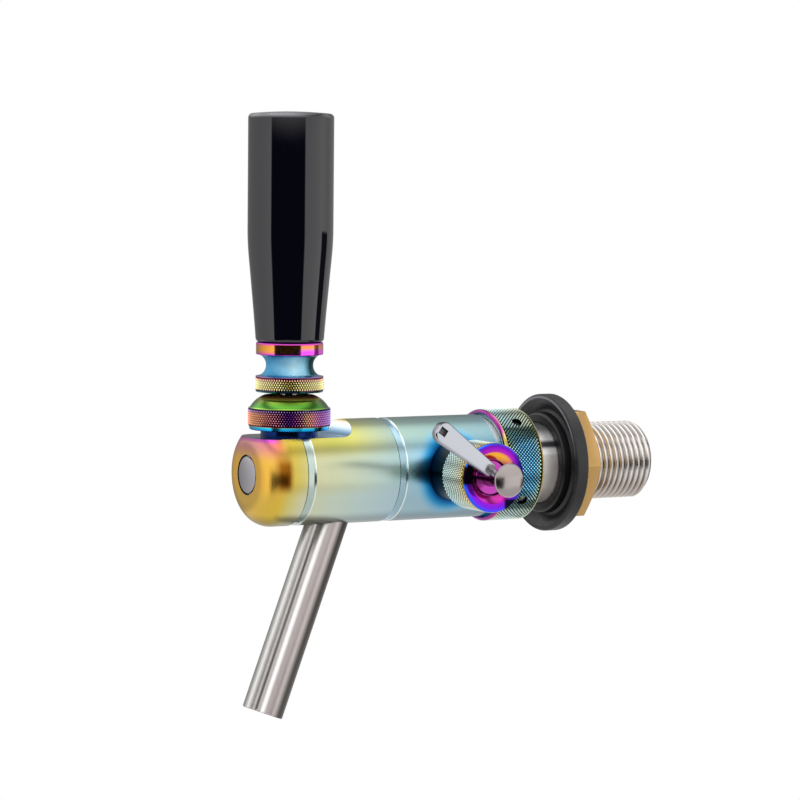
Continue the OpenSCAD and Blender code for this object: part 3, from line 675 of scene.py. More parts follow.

# The same film in teal and sky blue. Its top and underside lean to other hues, partly film colour
# and partly painted reflection, with painted shade low down; round the side boss it deepens to navy
# with painted shade and a painted reflection of the side nut.
REAR_TINT = Finish(
    "pvd_teal_satin_turned",
    Ramp(Y, (
        (JOINT_Y, "#a0bfc0"), (-62.2, "#a0c2ca"), (-58, "#98c2d4"), (-47, "#84bcd8"),
        (-36, "#80b8d0"), (-29, "#84c0da"))),
    roughness=0.3, grain=TURNED,
    layers=(
        # Top: film colour and painted reflection.
        Layer(
            Ramp(Y, ((JOINT_Y, "#98b0a4"), (-47, "#88a6a4"), (-29, "#7e9eaa"))),
            (Fade(Z, 4.5, 11.0),)),
        # Underside: film colour and painted reflection.
        Layer(
            Ramp(Y, ((JOINT_Y, "#a4c0c8"), (-47, "#98b8c6"), (-29, "#8cacbe"))),
            (Fade(Z, -3.0, -9.0),)),
        # Painted shade: darker towards the bottom.
        Layer("#b4b4b4", (Fade(Z, -10.0, -13.8),), "MULTIPLY"),
        # Painted shadow and highlight at the joint groove's steps.
        *groove(JOINT_Y, -62.2, "#98b6c2", 15.0),
        # Painted shade and a painted reflection of the side nut: navy round the side boss.
        Layer(
            Ramp(SIDE_R, (
                (8.0, "#0a3c64"), (8.7, "#0c5c98"), (9.8, "#2c8cc0"), (11.5, "#5cacd4"),
                (13.0, "#78b8d4"))),
            (Fade(SIDE_R, 13.2, 9.6), Fade(X, 2.0, 8.0))),
        # Painted shade on the side boss, going black towards the nut.
        Layer(
            Ramp(X, ((13.0, "#083456"), (15.0, "#042034"), (17.5, "#02080e"))),
            (Fade(SIDE_R, 8.35, 8.1), Fade(X, 8.0, 12.0))),
        # Painted reflection on the body's end, almost without metal.
        Layer(JOINT_PAINTED_REFLECTION, (Fade(Y, -32.9, -32.8),), roughness=0.35, metallic=0.1)))

# Polished before it is coated: blue under the knurl, rose and violet round it, a green dome. A lime
# painted highlight rings the dome's foot, the brown up its edge and mouth is painted reflection and
# shade, and the dome is darker towards the back with painted shade.
BONNET_TINT = Finish(
    "pvd_rainbow_bonnet",
    Ramp(Z, (
        (12.2, "#16388c"), (12.5, "#1690d0"), (13.15, "#22bcd4"), (13.35, "#d88a5a"),
        (14.8, "#cc5c78"), (16.0, "#b8409c"), (17.2, "#6c3cb4"), (18.0, "#4450b0"),
        # The lime stop is a painted highlight at the dome's foot; the browns from 20.9 up are
        # painted reflection.
        (18.2, "#c8ec70"), (18.5, "#58a040"), (19.4, "#5c983a"), (20.3, "#7c9430"),
        (20.9, "#84742c"), (21.3, "#6c5030"), (21.7, "#5c4038"))),
    roughness=0.14, grain=POLISHED,
    layers=(
        Layer(
            Ramp(Y, (
                (-103, "#ec9460"), (-100, "#dc6098"), (-97.6, "#8c54c4"), (-94.6, "#d45cbc"),
                (-92.6, "#ffcc90"), (-91.0, "#ffa49c"), (-88, "#c45cc8"), (-83, "#8c6cc4"))),
            (Fade(Z, 13.2, 13.8), Fade(Z, 18.2, 16.4))),
        # Painted shade: the dome and mouth darker towards the back.
        Layer(
            Ramp(Y, ((-103, "#ffffff"), (-98, "#e8e0d0"), (-92, "#c0c8b8"), (-86, "#98a8a0"))),
            (Fade(Z, 18.1, 18.3),), "MULTIPLY"),
        *knurled(HANDLE_R, 11.15, 0.4, Z, (13.35, 18.15), "#fff0f0", "#443850"),
        # Painted reflection and shade: brown over the dome's upper edge and the mouth, half matt.
        Layer(
            Ramp(Z, ((20.4, "#7c9434"), (20.9, "#8c8030"), (21.3, "#6c4c2c"), (21.6, "#543428"))),
            (Fade(Z, 20.3, 20.8),), roughness=0.4, metallic=0.3)))

# Gold knurl, a matt pale blue waist with a painted highlight towards the front and painted shade at
# the back, and a mirror ring from orange to magenta.
FERRULE_TINT = Finish(
    "pvd_rainbow_ferrule",
    Ramp(Z, (
        (22.5, "#16607c"), (22.85, "#2a9cb8"), (23.05, "#7a4a98"), (23.6, "#fcec98"),
        (25.2, "#fffcac"), (26.2, "#fcb8a0"), (26.75, "#a84a98"), (27.0, "#3c88b4"),
        (27.7, "#5cb0d8"), (30, "#84c4e4"), (32.2, "#4aa0c8"), (32.8, "#34607c"), (33.0, "#b834c8"),
        (33.5, "#e07a6c"), (34.3, "#d89a38"), (35.4, "#dc9048"), (35.8, "#dc5a90"),
        (36.2, "#a028c8"))),
    roughness=0.12, grain=POLISHED,
    layers=(
        *knurled(HANDLE_R, 9.22, 0.36, Z, (22.95, 26.7), "#fffce4", "#64544c"),
        Layer("#f050e8", (Fade(Y, -95.5, -92.5), Fade(Z, 35.2, 33.8), Fade(Z, 32.9, 33.0))),
        # Painted highlight and shade on the matt waist.
        Layer(
            Ramp(Y, (
                (-98.6, "#62aed2"), (-96.8, "#98d4ee"), (-94, "#d0f4ff"), (-91, "#a8dcee"),
                (-89.6, "#5898a8"), (-88.7, "#1c3c44"), (-86.4, "#486a70"))),
            (Fade(Z, 26.95, 27.6), Fade(Z, 32.85, 32.2)),
            roughness=0.7)))

# Silver-green knurl that ends in gold, and a mirror face in rings of blue, violet and magenta. Its
# dark patches are painted reflections of the room on the polished face.
SIDE_NUT_TINT = Finish(
    "pvd_rainbow_side_nut",
    Ramp(X, (
        (22.8, "#4c90a4"), (24.0, "#a4c6c4"), (30.0, "#b4c8b8"), (33.2, "#c4bc84"),
        (34.4, "#d8b048"), (34.9, "#c89038"), (35.1, "#1c7ae8"), (35.6, "#3048f0"))),
    roughness=0.12, grain=POLISHED,
    layers=(
        *knurled(SIDE_R, 9.24, 0.4, X, (23.3, 34.2), "#fafcfa"),
        Layer(
            Ramp(SIDE_R, (
                (5.2, "#8c2c6c"), (6.4, "#a82888"), (7.15, "#b020a8"), (7.3, "#8c1cc4"),
                (8.4, "#6c22cc"), (9.1, "#4c3ce0"), (9.4, "#2080e4"))),
            (Fade(SIDE_R, 9.22, 9.08), Fade(X, 33.0, 33.4))),
        Layer(
            Ramp(SIDE_R, (
                (5.2, "#f49c2c"), (6.5, "#fcbc3c"), (7.0, "#fc9854"), (7.3, "#b028b0"),
                (8.2, "#8418a8"), (9.3, "#5018a0"))),
            (Fade(SIDE_R, 9.22, 9.0), Fade(Z, 2.0, 6.0), Fade(X, 33.0, 33.4))),
        # Painted reflections: dark patches on the face.
        Layer("#1c1468", (Fade(Y, -41.8, -38.8), Fade(X, 34.6, 35.0))),
        Layer("#12061c", (
            Fade(Y, -53.3, -54.3), Fade(Z, -2.0, -1.0), Fade(Z, 4.0, 3.0), Fade(X, 34.8, 35.0))),
        Layer("#0c0a24", (Fade(Y, -44.4, -43.4), Fade(Z, -5.4, -6.4), Fade(X, 34.8, 35.0)))))

# One even magenta, polished.
BUSH_TINT = Finish("pvd_violet_polished", "#a8409c", roughness=0.14, grain=POLISHED)

# Magenta lip with a gold edge, and a knurl that runs from gold through blue to gold. Its top and
# underside take other hues, partly film colour and partly painted reflection.
COLLAR_TINT = Finish(
    "pvd_rainbow_coupling_nut",
    Ramp(Y, (
        (-31.0, "#8c3088"), (-30.35, "#b04c9c"), (-30.0, "#d0b048"), (-29.2, "#a8ccb4"),
        (-26.5, "#58c0e8"), (-22, "#50bce8"), (-20, "#98c8bc"), (-19.3, "#c09c44"),
        (-19.0, "#7c6430"))),
    roughness=0.14, grain=POLISHED,
    layers=(
        # Top: film colour and painted reflection.
        Layer(
            Ramp(Y, ((-30.0, "#bcbc94"), (-28.6, "#9cc4c8"), (-26, "#9cb8b0"), (-19.3, "#b0b494"))),
            (Fade(Z, 6.0, 12.5), Fade(Y, -30.3, -29.9))),
        # Underside: film colour and painted reflection.
        Layer(
            Ramp(Y, ((-30.0, "#c8d0b4"), (-26, "#b8d8d4"), (-19.3, "#c0d0bc"))),
            (Fade(Z, -5.0, -12.0), Fade(Y, -30.3, -29.9))),
        *knurled(SHANK_R, 15.5, 0.46, Y, (-29.9, -19.5), "#f4fcff"),
        Layer(
            Ramp(SHANK_R, (
                (14.9, "#0c1418"), (15.4, "#182428"), (15.6, "#c8b860"), (15.9, "#d0c070"))),
            (Fade(Z, 11.0, 8.0), Fade(Z, -13.0, -10.0), Fade(Y, -29.9, -30.2))),
        # Painted reflection on the nut's inner lip, without metal.
        Layer(
            JOINT_PAINTED_REFLECTION,
            (Fade(SHANK_R, 14.95, 14.85), Fade(Y, -28.6, -29.0)),
            roughness=0.4, metallic=0.0)))

# Brushed along the tubes, with a painted highlight line on the front of each and painted shade
# along the rear edge.
STEEL_BRUSHED = Finish(
    "stainless_steel_brushed_tube",
    # Painted highlights and shade across the tubes.
    Ramp(Coord.SPOUT_BACK, (
        (-7.45, "#74726e"), (-7.25, "#9c9a98"), (-6.85, "#dcdad8"), (-6.3, "#b8b4b2"),
        (-5.6, "#b4b0ae"), (-4.7, "#bcb8b6"), (-4.2, "#b4b0ae"), (-3.75, "#a8a4a2"),
        (-3.3, "#faf8f6"), (-2.95, "#f0ecea"), (-2.4, "#b4acaa"), (-1.4, "#ccc2c0"),
        (-0.2, "#bcb2b0"), (0.6, "#8c8684"), (1.4, "#585450"), (4.7, "#4c4846"))),
    roughness=0.34, grain=Grain((0.5, 0.5, 4.0), 0.0008, 0.05))
# Blasting takes the shine off and leaves an even grey.
STEEL_SATIN = Finish("stainless_steel_bead_blasted", "#a8a4aa", roughness=0.38, grain=CAST)
# Near to a mirror, with faint rings.
STEEL_POLISHED = Finish("stainless_steel_polished", "#b8b5b2", roughness=0.12, grain=TURNED_COARSE)
# Rolled, with bright crests over roots darkened by painted shade, and painted shade on the
# underside.
STEEL_THREAD = Finish(
    "stainless_steel_rolled_thread", "#e6e2de", roughness=0.24, grain=TURNED_COARSE,
    layers=(
        # Painted shade in the roots.
        Layer("#c0bcba", (Fade(SHANK_R, 10.95, 10.4),), "MULTIPLY"),
        # Painted shade on the underside.
        Layer("#d8d2cc", (Fade(Z, -2.5, -7.0),), "MULTIPLY")))
# The shank's plain length is only half metallic, with a pale colour that stands in for its
# reflection so it stays pale beside the black flange, and painted reflections along its upper side:
# a dark band between two bright ones.
STEEL_PLAIN = Finish(
    "stainless_steel_satin_turned",
    Ramp(Z, (
        (-11.5, "#b4aeaa"), (-6, "#d8d2cc"), (0, "#d0cac4"), (3.0, "#dcd8d2"), (3.6, "#ffffff"),
        (4.8, "#f8f6f4"), (5.6, "#3c3c42"), (6.6, "#44444a"), (7.4, "#f0eeee"), (8.6, "#dcdada"),
        (10, "#8c8c90"), (11.5, "#606064"))),
    metallic=0.5, roughness=0.32, grain=TURNED_COARSE)
# Warm grey, a little soft.
NICKEL = Finish("nickel_plate_satin", "#9e9694", roughness=0.2, grain=POLISHED)
# The lever is brighter than its head. Its notch is darkened with painted shade, and a dark painted
# reflection runs along its upper edge.
CHROME = Finish("chrome_plate_polished", "#b0b2b8", roughness=0.16, grain=POLISHED, layers=(
    Layer("#b0b0b6", (Fade(X, 40.5, 40.2),), roughness=0.45),
    # Painted reflection: dark along the lever's upper edge.
    Layer("#4c484c", (Fade(X, 40.59, 40.48), Fade(Coord.LEVER_UP, 0.4, 1.4)), roughness=0.3),
    # Painted shade in the notch.
    Layer(
        "#7c7a7e",
        (Fade(SIDE_R, 22.0, 22.4), Fade(SIDE_R, 24.9, 24.7), Fade(X, 40.4, 40.1),
         Fade(Coord.LEVER_UP, 1.4, 1.1), Fade(Coord.LEVER_UP, -1.4, -1.1)),
        roughness=0.6)))
# Milling leaves broad soft marks on dull yellow faces.
BRASS = Finish(
    "brass_milled", "#be9860", roughness=0.32, grain=Grain((2.0, 0.3, 2.0), 0.0015, 0.05))
# Gloss resin mirrors the studio, and a grey painted highlight runs round the front of its crown's
# rounded edge.
PHENOLIC = Finish(
    "phenolic_resin_high_gloss_black", "#050510", metallic=0.0, roughness=0.035,
    grain=Grain((2.0, 2.0, 4.0), 0.0003, 0.01), ior=1.58,
    # Painted highlight on the crown's edge.
    layers=(Layer("#8c8c94", (Fade(Z, 97.7, 98.4), Fade(Z, 99.4, 99.2), Fade(Y, -91.0, -98.0))),))
# Fine leathery moulding that greys where light grazes it, with a painted highlight along the upper
# front edge of its rim.
NYLON = Finish(
    "nylon_moulded_black", "#0c0c10", metallic=0.0, roughness=0.42,
    grain=Grain((0.35, 0.35, 0.35), 0.008, 0.08),
    layers=(
        # Painted highlight on the rim's edge.
        Layer("#8a8890", (
            Fade(SHANK_R, 18.3, 18.7), Fade(SHANK_R, 19.3, 18.95), Fade(Y, -9.4, -10.0),
            Fade(Z, 1.0, 12.0))),))
# Seals are matt black, seats waxy white, and the compensator an off-white plastic.
RUBBER = Finish("nitrile_rubber_moulded", "#141414", metallic=0.0, roughness=0.6, grain=CAST)
PTFE = Finish("ptfe_turned", "#e8e8e2", metallic=0.0, roughness=0.5, grain=CAST)
ACETAL = Finish("acetal_turned", "#dcdcd2", metallic=0.0, roughness=0.45, grain=TURNED)


def dress_nodes(finish: Finish, *nodes: str) -> None:
    """Give carried-over CAD nodes their material.

    Args:
        finish: their finish.
        nodes: their names.
    """
    for node in nodes:
        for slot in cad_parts[node].material_slots:
            slot.material = finish.material()
        LOG.info("%s: CAD node, %s", node, finish.name)


def settle(piece: Piece, body: str, slot: str, finish: Finish, *nodes: str,
           sharp: float = 32.0) -> None:
    """Finish a piece: its shading and material, the body it rides on and what it stands for.

    Args:
        piece: the piece.
        body: name of the CAD body.
        slot: not used.
        finish: the material.
        nodes: CAD nodes that it replaces.
        sharp: the least angle between faces that shows as an edge, in degrees.
    """
    only(piece)
    bpy.ops.object.shade_smooth_by_angle(angle=math.radians(sharp))
    piece.data.materials.clear()
    piece.data.materials.append(finish.material())
    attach(piece, body)
    if nodes:
        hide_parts(*nodes)
    LOG.info("%s: %d faces on %s, %s", piece.name, len(piece.data.polygons), body, finish.name)


@dataclass
class Handle:
    """Gloss black grip on its knurled ferrule."""

    foot_z: float = 36.25
    grip_len: float = 63.2
    grip_r: float = 11.8
    foot_r: float = 9.45
    ferrule_z: float = 22.55
    knurl_r: float = 9.22
    knurl_depth: float = 0.36
    recess_r: float = 12.75
    bore_r: float = 3.05
    waist_z: float = 26.95
    waist_h: float = 5.9
    waist_r: float = 6.5

    def grip(self) -> Piece:
        """Barrel with a slow taper, a rounded foot and a crowned top.

        Returns:
            The piece.
        """
        foot, top = self.foot_z, self.foot_z + self.grip_len
        crown = [(r, top - 0.52 * (r / 10.8) ** 2) for r in (9.2, 7.2, 5.2, 3.2, 1.5)]
        profile = [(0.0, foot), *arc(self.foot_r - 1.2, foot + 1.2, 1.2, -90, 0, 8),
                   *flow([(9.5, foot + 2.0), (10.06, foot + 8.6), (10.83, foot + 17),
                          (11.58, foot + 25.2), (11.79, foot + 29.5)], 5),
                   (self.grip_r, foot + 31.5),
                   *arc(self.grip_r - 1.3, top - 1.8, 1.3, 0, 80, 10), *crown, (0.0, top)]
        return turn("handle_grip_turned", Axis.HANDLE, profile, 128)

    def ferrule(self) -> Piece:
        """Knurled ring, hollow waist and plain ring, recessed under to clear the bonnet.

        Returns:
            The piece.
        """
        low, top, waist_z = self.ferrule_z, self.foot_z, self.waist_z
        mouth = math.degrees(math.asin((low - BALL_Z) / self.recess_r))
        throat = math.degrees(math.acos(self.bore_r / self.recess_r))
        waist = []
        for i in range(25):
            t = math.pi * i / 24
            edge = 9.15 if i < 12 else 9.1
            waist.append((self.waist_r + (edge - self.waist_r) * (1 - math.sin(t)),
                          waist_z + self.waist_h * (1 - math.cos(t)) / 2))
        ring_z = waist_z + self.waist_h
        knurled_z = (low + 0.4, waist_z - 0.3)
        profile = [*arc(0, BALL_Z, self.recess_r, throat, mouth, 10), (9.15, low), (9.4, low + 0.3),
                   *rows(self.knurl_r, *knurled_z, 3), (9.42, waist_z - 0.22),
                   (9.32, waist_z - 0.03), *waist, (9.24, ring_z + 0.12), (9.28, ring_z + 0.25),
                   (9.28, ring_z + 0.4), (9.28, top - 0.5), (9.28, top - 0.35),
                   (9.18, top - 0.12), (8.98, top), (self.bore_r, top)]
        piece = turn("ferrule_knurled", Axis.HANDLE, profile, 80, ring=True)
        knurl(piece, Axis.HANDLE, self.knurl_r, knurled_z, self.knurl_depth)
        return piece

    def build(self) -> None:
        """Make and dress the handle's pieces."""
        settle(self.grip(), "handle", "black_grip", PHENOLIC, "handle_grip")
        settle(self.ferrule(), "handle", "pvd_blue", FERRULE_TINT, "handle_ferrule")
        dress_nodes(STEEL_POLISHED, "ball_lever")
        dress_nodes(BRASS, "handle_insert")


@dataclass
class Bonnet:
    """Knurled bonnet that holds the lever's ball down."""

    low_z: float = 12.2
    knurl_z: float = 13.3
    knurl_top_z: float = 18.2
    top_z: float = 21.65
    knurl_r: float = 11.15
    knurl_depth: float = 0.4
    thread_r: float = 7.7
    web_z: float = 17.25
    throat_r: float = 5.15
    mouth_r: float = 6.9

    def build(self) -> None:
        """Make and dress the bonnet, with its domed top and conical mouth."""
        low, knurl_z, knurl_top = self.low_z, self.knurl_z, self.knurl_top_z
        knurled_z = (knurl_z + 0.05, knurl_top - 0.05)
        dome = arc(4.38, knurl_top - 3.52, 7.43, 28.4, 69.5, 16)
        profile = [(self.thread_r, low), (10.75, low), (10.95, low + 0.12),
                   (11.12, knurl_z - 0.05), (11.3, knurl_z), *rows(self.knurl_r, *knurled_z, 4),
                   (11.3, knurl_top - 0.02), (11.2, knurl_top + 0.02), *dome,
                   (self.mouth_r, self.top_z - 0.12), (self.throat_r, self.web_z + 0.3),
                   (self.throat_r, self.web_z), (self.thread_r, self.web_z)]
        piece = turn("bonnet_knurled", Axis.HANDLE, profile, 94, ring=True)
        knurl(piece, Axis.HANDLE, self.knurl_r, knurled_z, self.knurl_depth)
        settle(piece, "tap_body", "pvd_violet", BONNET_TINT, "bonnet")
        dress_nodes(PTFE, "ball_seat", "ball_packing")


@dataclass
class Body:
    """The two halves of the body with what closes them."""

    nose_y: float = NOSE_Y
    plug_r: float = 5.38
    plug_t: float = 1.3
    plug_thread_r: float = 4.2
    plug_len: float = 3.7

    def plug(self) -> Piece:
        """Nose plug, with the step round its face that shows as a dark line.

        Returns:
            The piece.
        """
        face, head = self.nose_y, self.nose_y + self.plug_t
        profile = [(0, face), (4.85, face), (4.98, face + 0.06), (5.06, face + 0.2),
                   (5.08, face + 0.5), (self.plug_r, face + 0.55), (self.plug_r, head),
                   (self.plug_thread_r, head), (self.plug_thread_r, face + self.plug_len),
                   (0, face + self.plug_len)]
        return turn("nose_plug_turned", Axis.SHANK, profile, 96)

    def build(self) -> None:
        """Dress the body's halves, plug, seals and valve."""
        settle(self.plug(), "tap_body", "stainless", STEEL_SATIN, "nose_plug")
        dress_nodes(FRONT_TINT, "front_body")
        dress_nodes(REAR_TINT, "rear_body")
        dress_nodes(RUBBER, "plug_oring", "joint_oring", "bush_oring", "stem_orings", "valve_seal",
                    "coupling_washer")
        dress_nodes(STEEL_POLISHED, "shuttle", "valve_seat", "valve_disc", "valve_nut",
                    "retaining_ring")
        dress_nodes(ACETAL, "compensator")


@dataclass
class Spout:
    """Two-tube spout."""

    def build(self) -> None:
        """Dress the spout."""
        dress_nodes(STEEL_BRUSHED, "spout")


@dataclass
class FlowControl:
    """Side nut, bush, stem and lever of the flow control."""

    nut_x: float = 22.8
    face_x: float = 35.6
    knurl_r: float = 9.24
    knurl_depth: float = 0.4
    thread_r: float = 7.25
    sink_r: float = 7.2
    hole_r: float = 5.2
    sink_x: float = 33.7
    web_x: float = 31.5
    stem_r: float = 2.4
    crank_x: float = 8.6
    crank_t: float = 2.3
    crank_r: float = 4.4
    arm_face_x: float = 40.6
    head_x: float = 43.4
    head_r: float = 4.65
    dome: float = 0.95
    crank_e: float = 2.6
    pin_x: float = -2.6
    pin_r: float = 1.5
    arm_angle: float = 35.5
    arm_t: float = 2.4
    arm_lean: float = 3.6
    notch: tuple[float, float] = (22.35, 24.75)
    notch_r: float = 1.05
    notch_sink: float = 0.15
    neck: tuple[float, float] = (0.5, 4.3)
    neck_r: float = 0.95

    def side_nut(self) -> Piece:
        """Knurled nut with its countersunk face.

        Returns:
            The piece.
        """
        rear, face = self.nut_x, self.face_x
        knurled_x = (rear + 0.5, face - 1.5)
        profile = [(self.thread_r, rear), (9.2, rear), (9.36, rear + 0.45),
                   *rows(self.knurl_r, *knurled_x, 11), (9.56, face - 1.4), (9.6, face - 0.85),
                   (9.55, face - 0.5), (9.38, face - 0.12), (9.2, face),
                   (self.sink_r + 0.08, face), (self.sink_r - 0.05, face - 0.06),
                   (self.hole_r, self.sink_x), (self.hole_r, self.web_x),
                   (self.thread_r, self.web_x)]
        piece = turn("side_nut_knurled", Axis.SIDE, profile, 60, ring=True)
        knurl(piece, Axis.SIDE, self.knurl_r, knurled_x, self.knurl_depth)
        return piece

    def stem(self) -> Piece:
        """Stem with its domed head, crank disc and eccentric pin.

        Returns:
            The piece.
        """
        curve_r = (self.head_r ** 2 + self.dome ** 2) / (2 * self.dome)
        half = math.degrees(math.asin(self.head_r / curve_r))
        rear = self.crank_x + self.crank_t
        profile = [(0, self.crank_x), (self.crank_r, self.crank_x), (self.crank_r, rear),
                   (self.stem_r, rear), (self.stem_r, 37.4),
                   *flow([(self.stem_r, 37.5), (2.7, 39.4), (3.4, 41.4), (4.4, 43.0)], 4),
                   *arc(self.head_r - 0.3, self.head_x - 0.05, 0.3, -40, 50, 5),
                   *arc(0, self.head_x + self.dome - curve_r, curve_r, 90 - half + 1.6, 90, 16)]
        piece = turn("flow_stem_turned", Axis.SIDE, profile, 96)
        pin = rod("crank_pin", Vector((self.pin_x, SIDE_Y, self.crank_e)),
                  Vector((self.crank_x + 1, SIDE_Y, self.crank_e)), self.pin_r)
        combine(piece, pin, Join.ADD)
        return piece

    def lever(self) -> Piece:
        """Paddle with rounded edges, a notch in its tip and its screwed neck.

        Returns:
            The piece.
        """
        corner_r, tip_r = 0.9, 2.7
        right = [*arc(0.975, 4.9, corner_r, -90, -self.arm_lean, 5),
                 *arc(0.3, 22.9, tip_r, -self.arm_lean, 90, 12)]
        outline = [*right, *((-x, y) for x, y in reversed(right))]
        back = self.arm_face_x - self.arm_t
        corners = [Vector((mm(back), mm(y), mm(x))) for x, y in outline]
        piece = trace("flow_lever_polished", [*corners, corners[0]])
        bpy.ops.mesh.remove_doubles(threshold=MERGE_M)
        bpy.ops.mesh.edge_face_add()
        bpy.ops.mesh.extrude_region_move(
            TRANSFORM_OT_translate={"value": (mm(self.arm_t), 0, 0)})
        close_up()
        soften(piece, 0.5, 4, 60)
        for name, x, ends, radius, how in (
                ("notch", self.arm_face_x - self.notch_sink, self.notch, self.notch_r, Join.CUT),
                ("neck", self.arm_face_x - self.arm_t / 2, self.neck, self.neck_r, Join.ADD)):
            start, end = (Vector((x, y, 0)) for y in ends)
            combine(piece, rod(name, start, end, radius, 24), how)
        only(piece)
        piece.rotation_euler = (math.radians(180 - self.arm_angle), 0, 0)
        piece.location = (0, mm(SIDE_Y), 0)
        apply_place()
        return piece

    def build(self) -> None:
        """Make and dress the flow control's pieces."""
        settle(self.side_nut(), "tap_body", "pvd_violet", SIDE_NUT_TINT, "side_nut")
        settle(self.stem(), "flow_control", "polished", NICKEL, "flow_stem")
        settle(self.lever(), "flow_control", "polished", CHROME, "flow_lever", sharp=40)
        dress_nodes(BUSH_TINT, "stem_bush")


@dataclass
class Coupling:
    """Coupling nut and the threaded shank."""

    front_y: float = -31.0
    rear_y: float = -19.0
    knurl_r: float = 15.5
    knurl_depth: float = 0.46
    lip_r: float = 13.4
    sink_y: float = -29.4
    lip_y: float = -27.5
    thread_r: float = 14.5
    hole_y: float = -24.2
    hole_r: float = 1.5
    hole_angle: float = 54.0
    holes: int = 4
    bore_r: float = 4.8
    head_y: float = -24.0
    shank_y: float = -19.6
    flange_y: float = -11.2
    core_y: float = -6.3
    thread_y: float = -2.0
    shank_r: float = 11.5
    head_r: float = 14.45
    crest_r: float = 11.11
    root_r: float = 10.21
    pitch: float = 25.4 / 14
    end_y: float = 21.2
    chamfer: float = 1.3

    def nut(self) -> Piece:
        """Knurled coupling nut with a polished front lip and spanner holes.

        Returns:
            The piece.
        """
        front, rear = self.front_y, self.rear_y
        knurled_y = (front + 1.1, rear - 0.5)
        profile = [(self.lip_r, self.sink_y), (13.65, front + 0.7), (14.88, self.sink_y + 0.3),
                   (14.9, front + 0.08), (15.05, front), (15.4, front + 0.06),
                   (15.72, front + 0.3), (15.88, front + 0.65), (15.9, front + 0.95),
                   *rows(self.knurl_r, *knurled_y, 10), (15.86, rear - 0.4), (15.84, rear - 0.2),
                   (15.62, rear), (self.thread_r, rear), (self.thread_r, self.lip_y),
                   (self.lip_r, self.lip_y)]
        piece = turn("coupling_nut_knurled", Axis.SHANK, profile, 94, ring=True)
        knurl(piece, Axis.SHANK, self.knurl_r, knurled_y, self.knurl_depth)
        for i in range(self.holes):
            angle = math.radians(self.hole_angle + 360 * i / self.holes)
            out = Vector((math.cos(angle), 0, math.sin(angle)))
            middle = Vector((0, self.hole_y, 0))
            hole = rod("hole", middle + out * (self.thread_r - 1),
                       middle + out * (self.knurl_r + 2.5), self.hole_r)
            combine(piece, hole, Join.CUT)
        return piece

    def shank(self) -> Piece:
        """Head and plain length of the shank.

        Returns:
            The piece.
        """
        edge = 0.4
        profile = [(self.bore_r, self.head_y), (self.head_r - edge, self.head_y),
                   (self.head_r, self.head_y + edge), (self.head_r, self.shank_y),
                   (self.shank_r, self.shank_y), (self.shank_r, self.flange_y),
                   (self.crest_r, self.flange_y), (self.crest_r, self.core_y),
                   (self.root_r, self.core_y), (self.root_r, self.thread_y),
                   (self.bore_r, self.thread_y)]
        return turn("shank_plain", Axis.SHANK, profile, 128, ring=True)

    def thread(self) -> Piece:
        """Threaded length of the shank: one turn's profile screwed along it, then trimmed.

        Returns:
            The piece.
        """
        shape = [(self.root_r, 0), (self.root_r, 0.16), (10.98, 0.72), (11.08, 0.82),
                 (self.crest_r, 0.93), (11.08, 1.04), (10.98, 1.14), (self.root_r, 1.70),
                 (self.root_r, self.pitch)]
        turns, lead_in, outside, sink = 16, 3.0, 13.0, 0.6
        start = self.thread_y - lead_in
        piece = trace("shank_thread", [Axis.SHANK.at(r, s + start) for r, s in shape])
        bpy.ops.object.mode_set(mode="OBJECT")
        modify(piece, "SCREW", axis="Y", angle=FULL_TURN, screw_offset=mm(self.pitch),
               iterations=turns, steps=72, render_steps=72, use_merge_vertices=True,
               merge_threshold=MERGE_M)
        bpy.ops.object.mode_set(mode="EDIT")
        for station, side in ((self.thread_y, "clear_inner"), (self.end_y - 0.01, "clear_outer")):
            bpy.ops.mesh.select_all(action="SELECT")
            bpy.ops.mesh.bisect(plane_co=(0, mm(station), 0), plane_no=(0, 1, 0), use_fill=True,
                                threshold=1e-7, **{side: True})
        close_up()
        inner, bevel_y = self.thread_y - 1, self.end_y - self.chamfer
        profile = [(self.bore_r, inner), (outside, inner),
                   (outside, bevel_y - (outside - self.crest_r)), (self.crest_r, bevel_y),
                   (self.crest_r - self.chamfer, self.end_y),
                   (self.bore_r + sink, self.end_y), (self.bore_r, self.end_y - sink)]
        envelope = turn("envelope", Axis.SHANK, profile, 72, ring=True)
        combine(piece, envelope, Join.KEEP_COMMON)
        return piece

    def build(self) -> None:
        """Make and dress the coupling nut and the shank."""
        settle(self.nut(), "tap_body", "pvd_teal", COLLAR_TINT, "coupling_nut")
        settle(self.shank(), "tap_body", "polished", STEEL_PLAIN, "shank")
        settle(self.thread(), "tap_body", "polished", STEEL_THREAD, sharp=42)


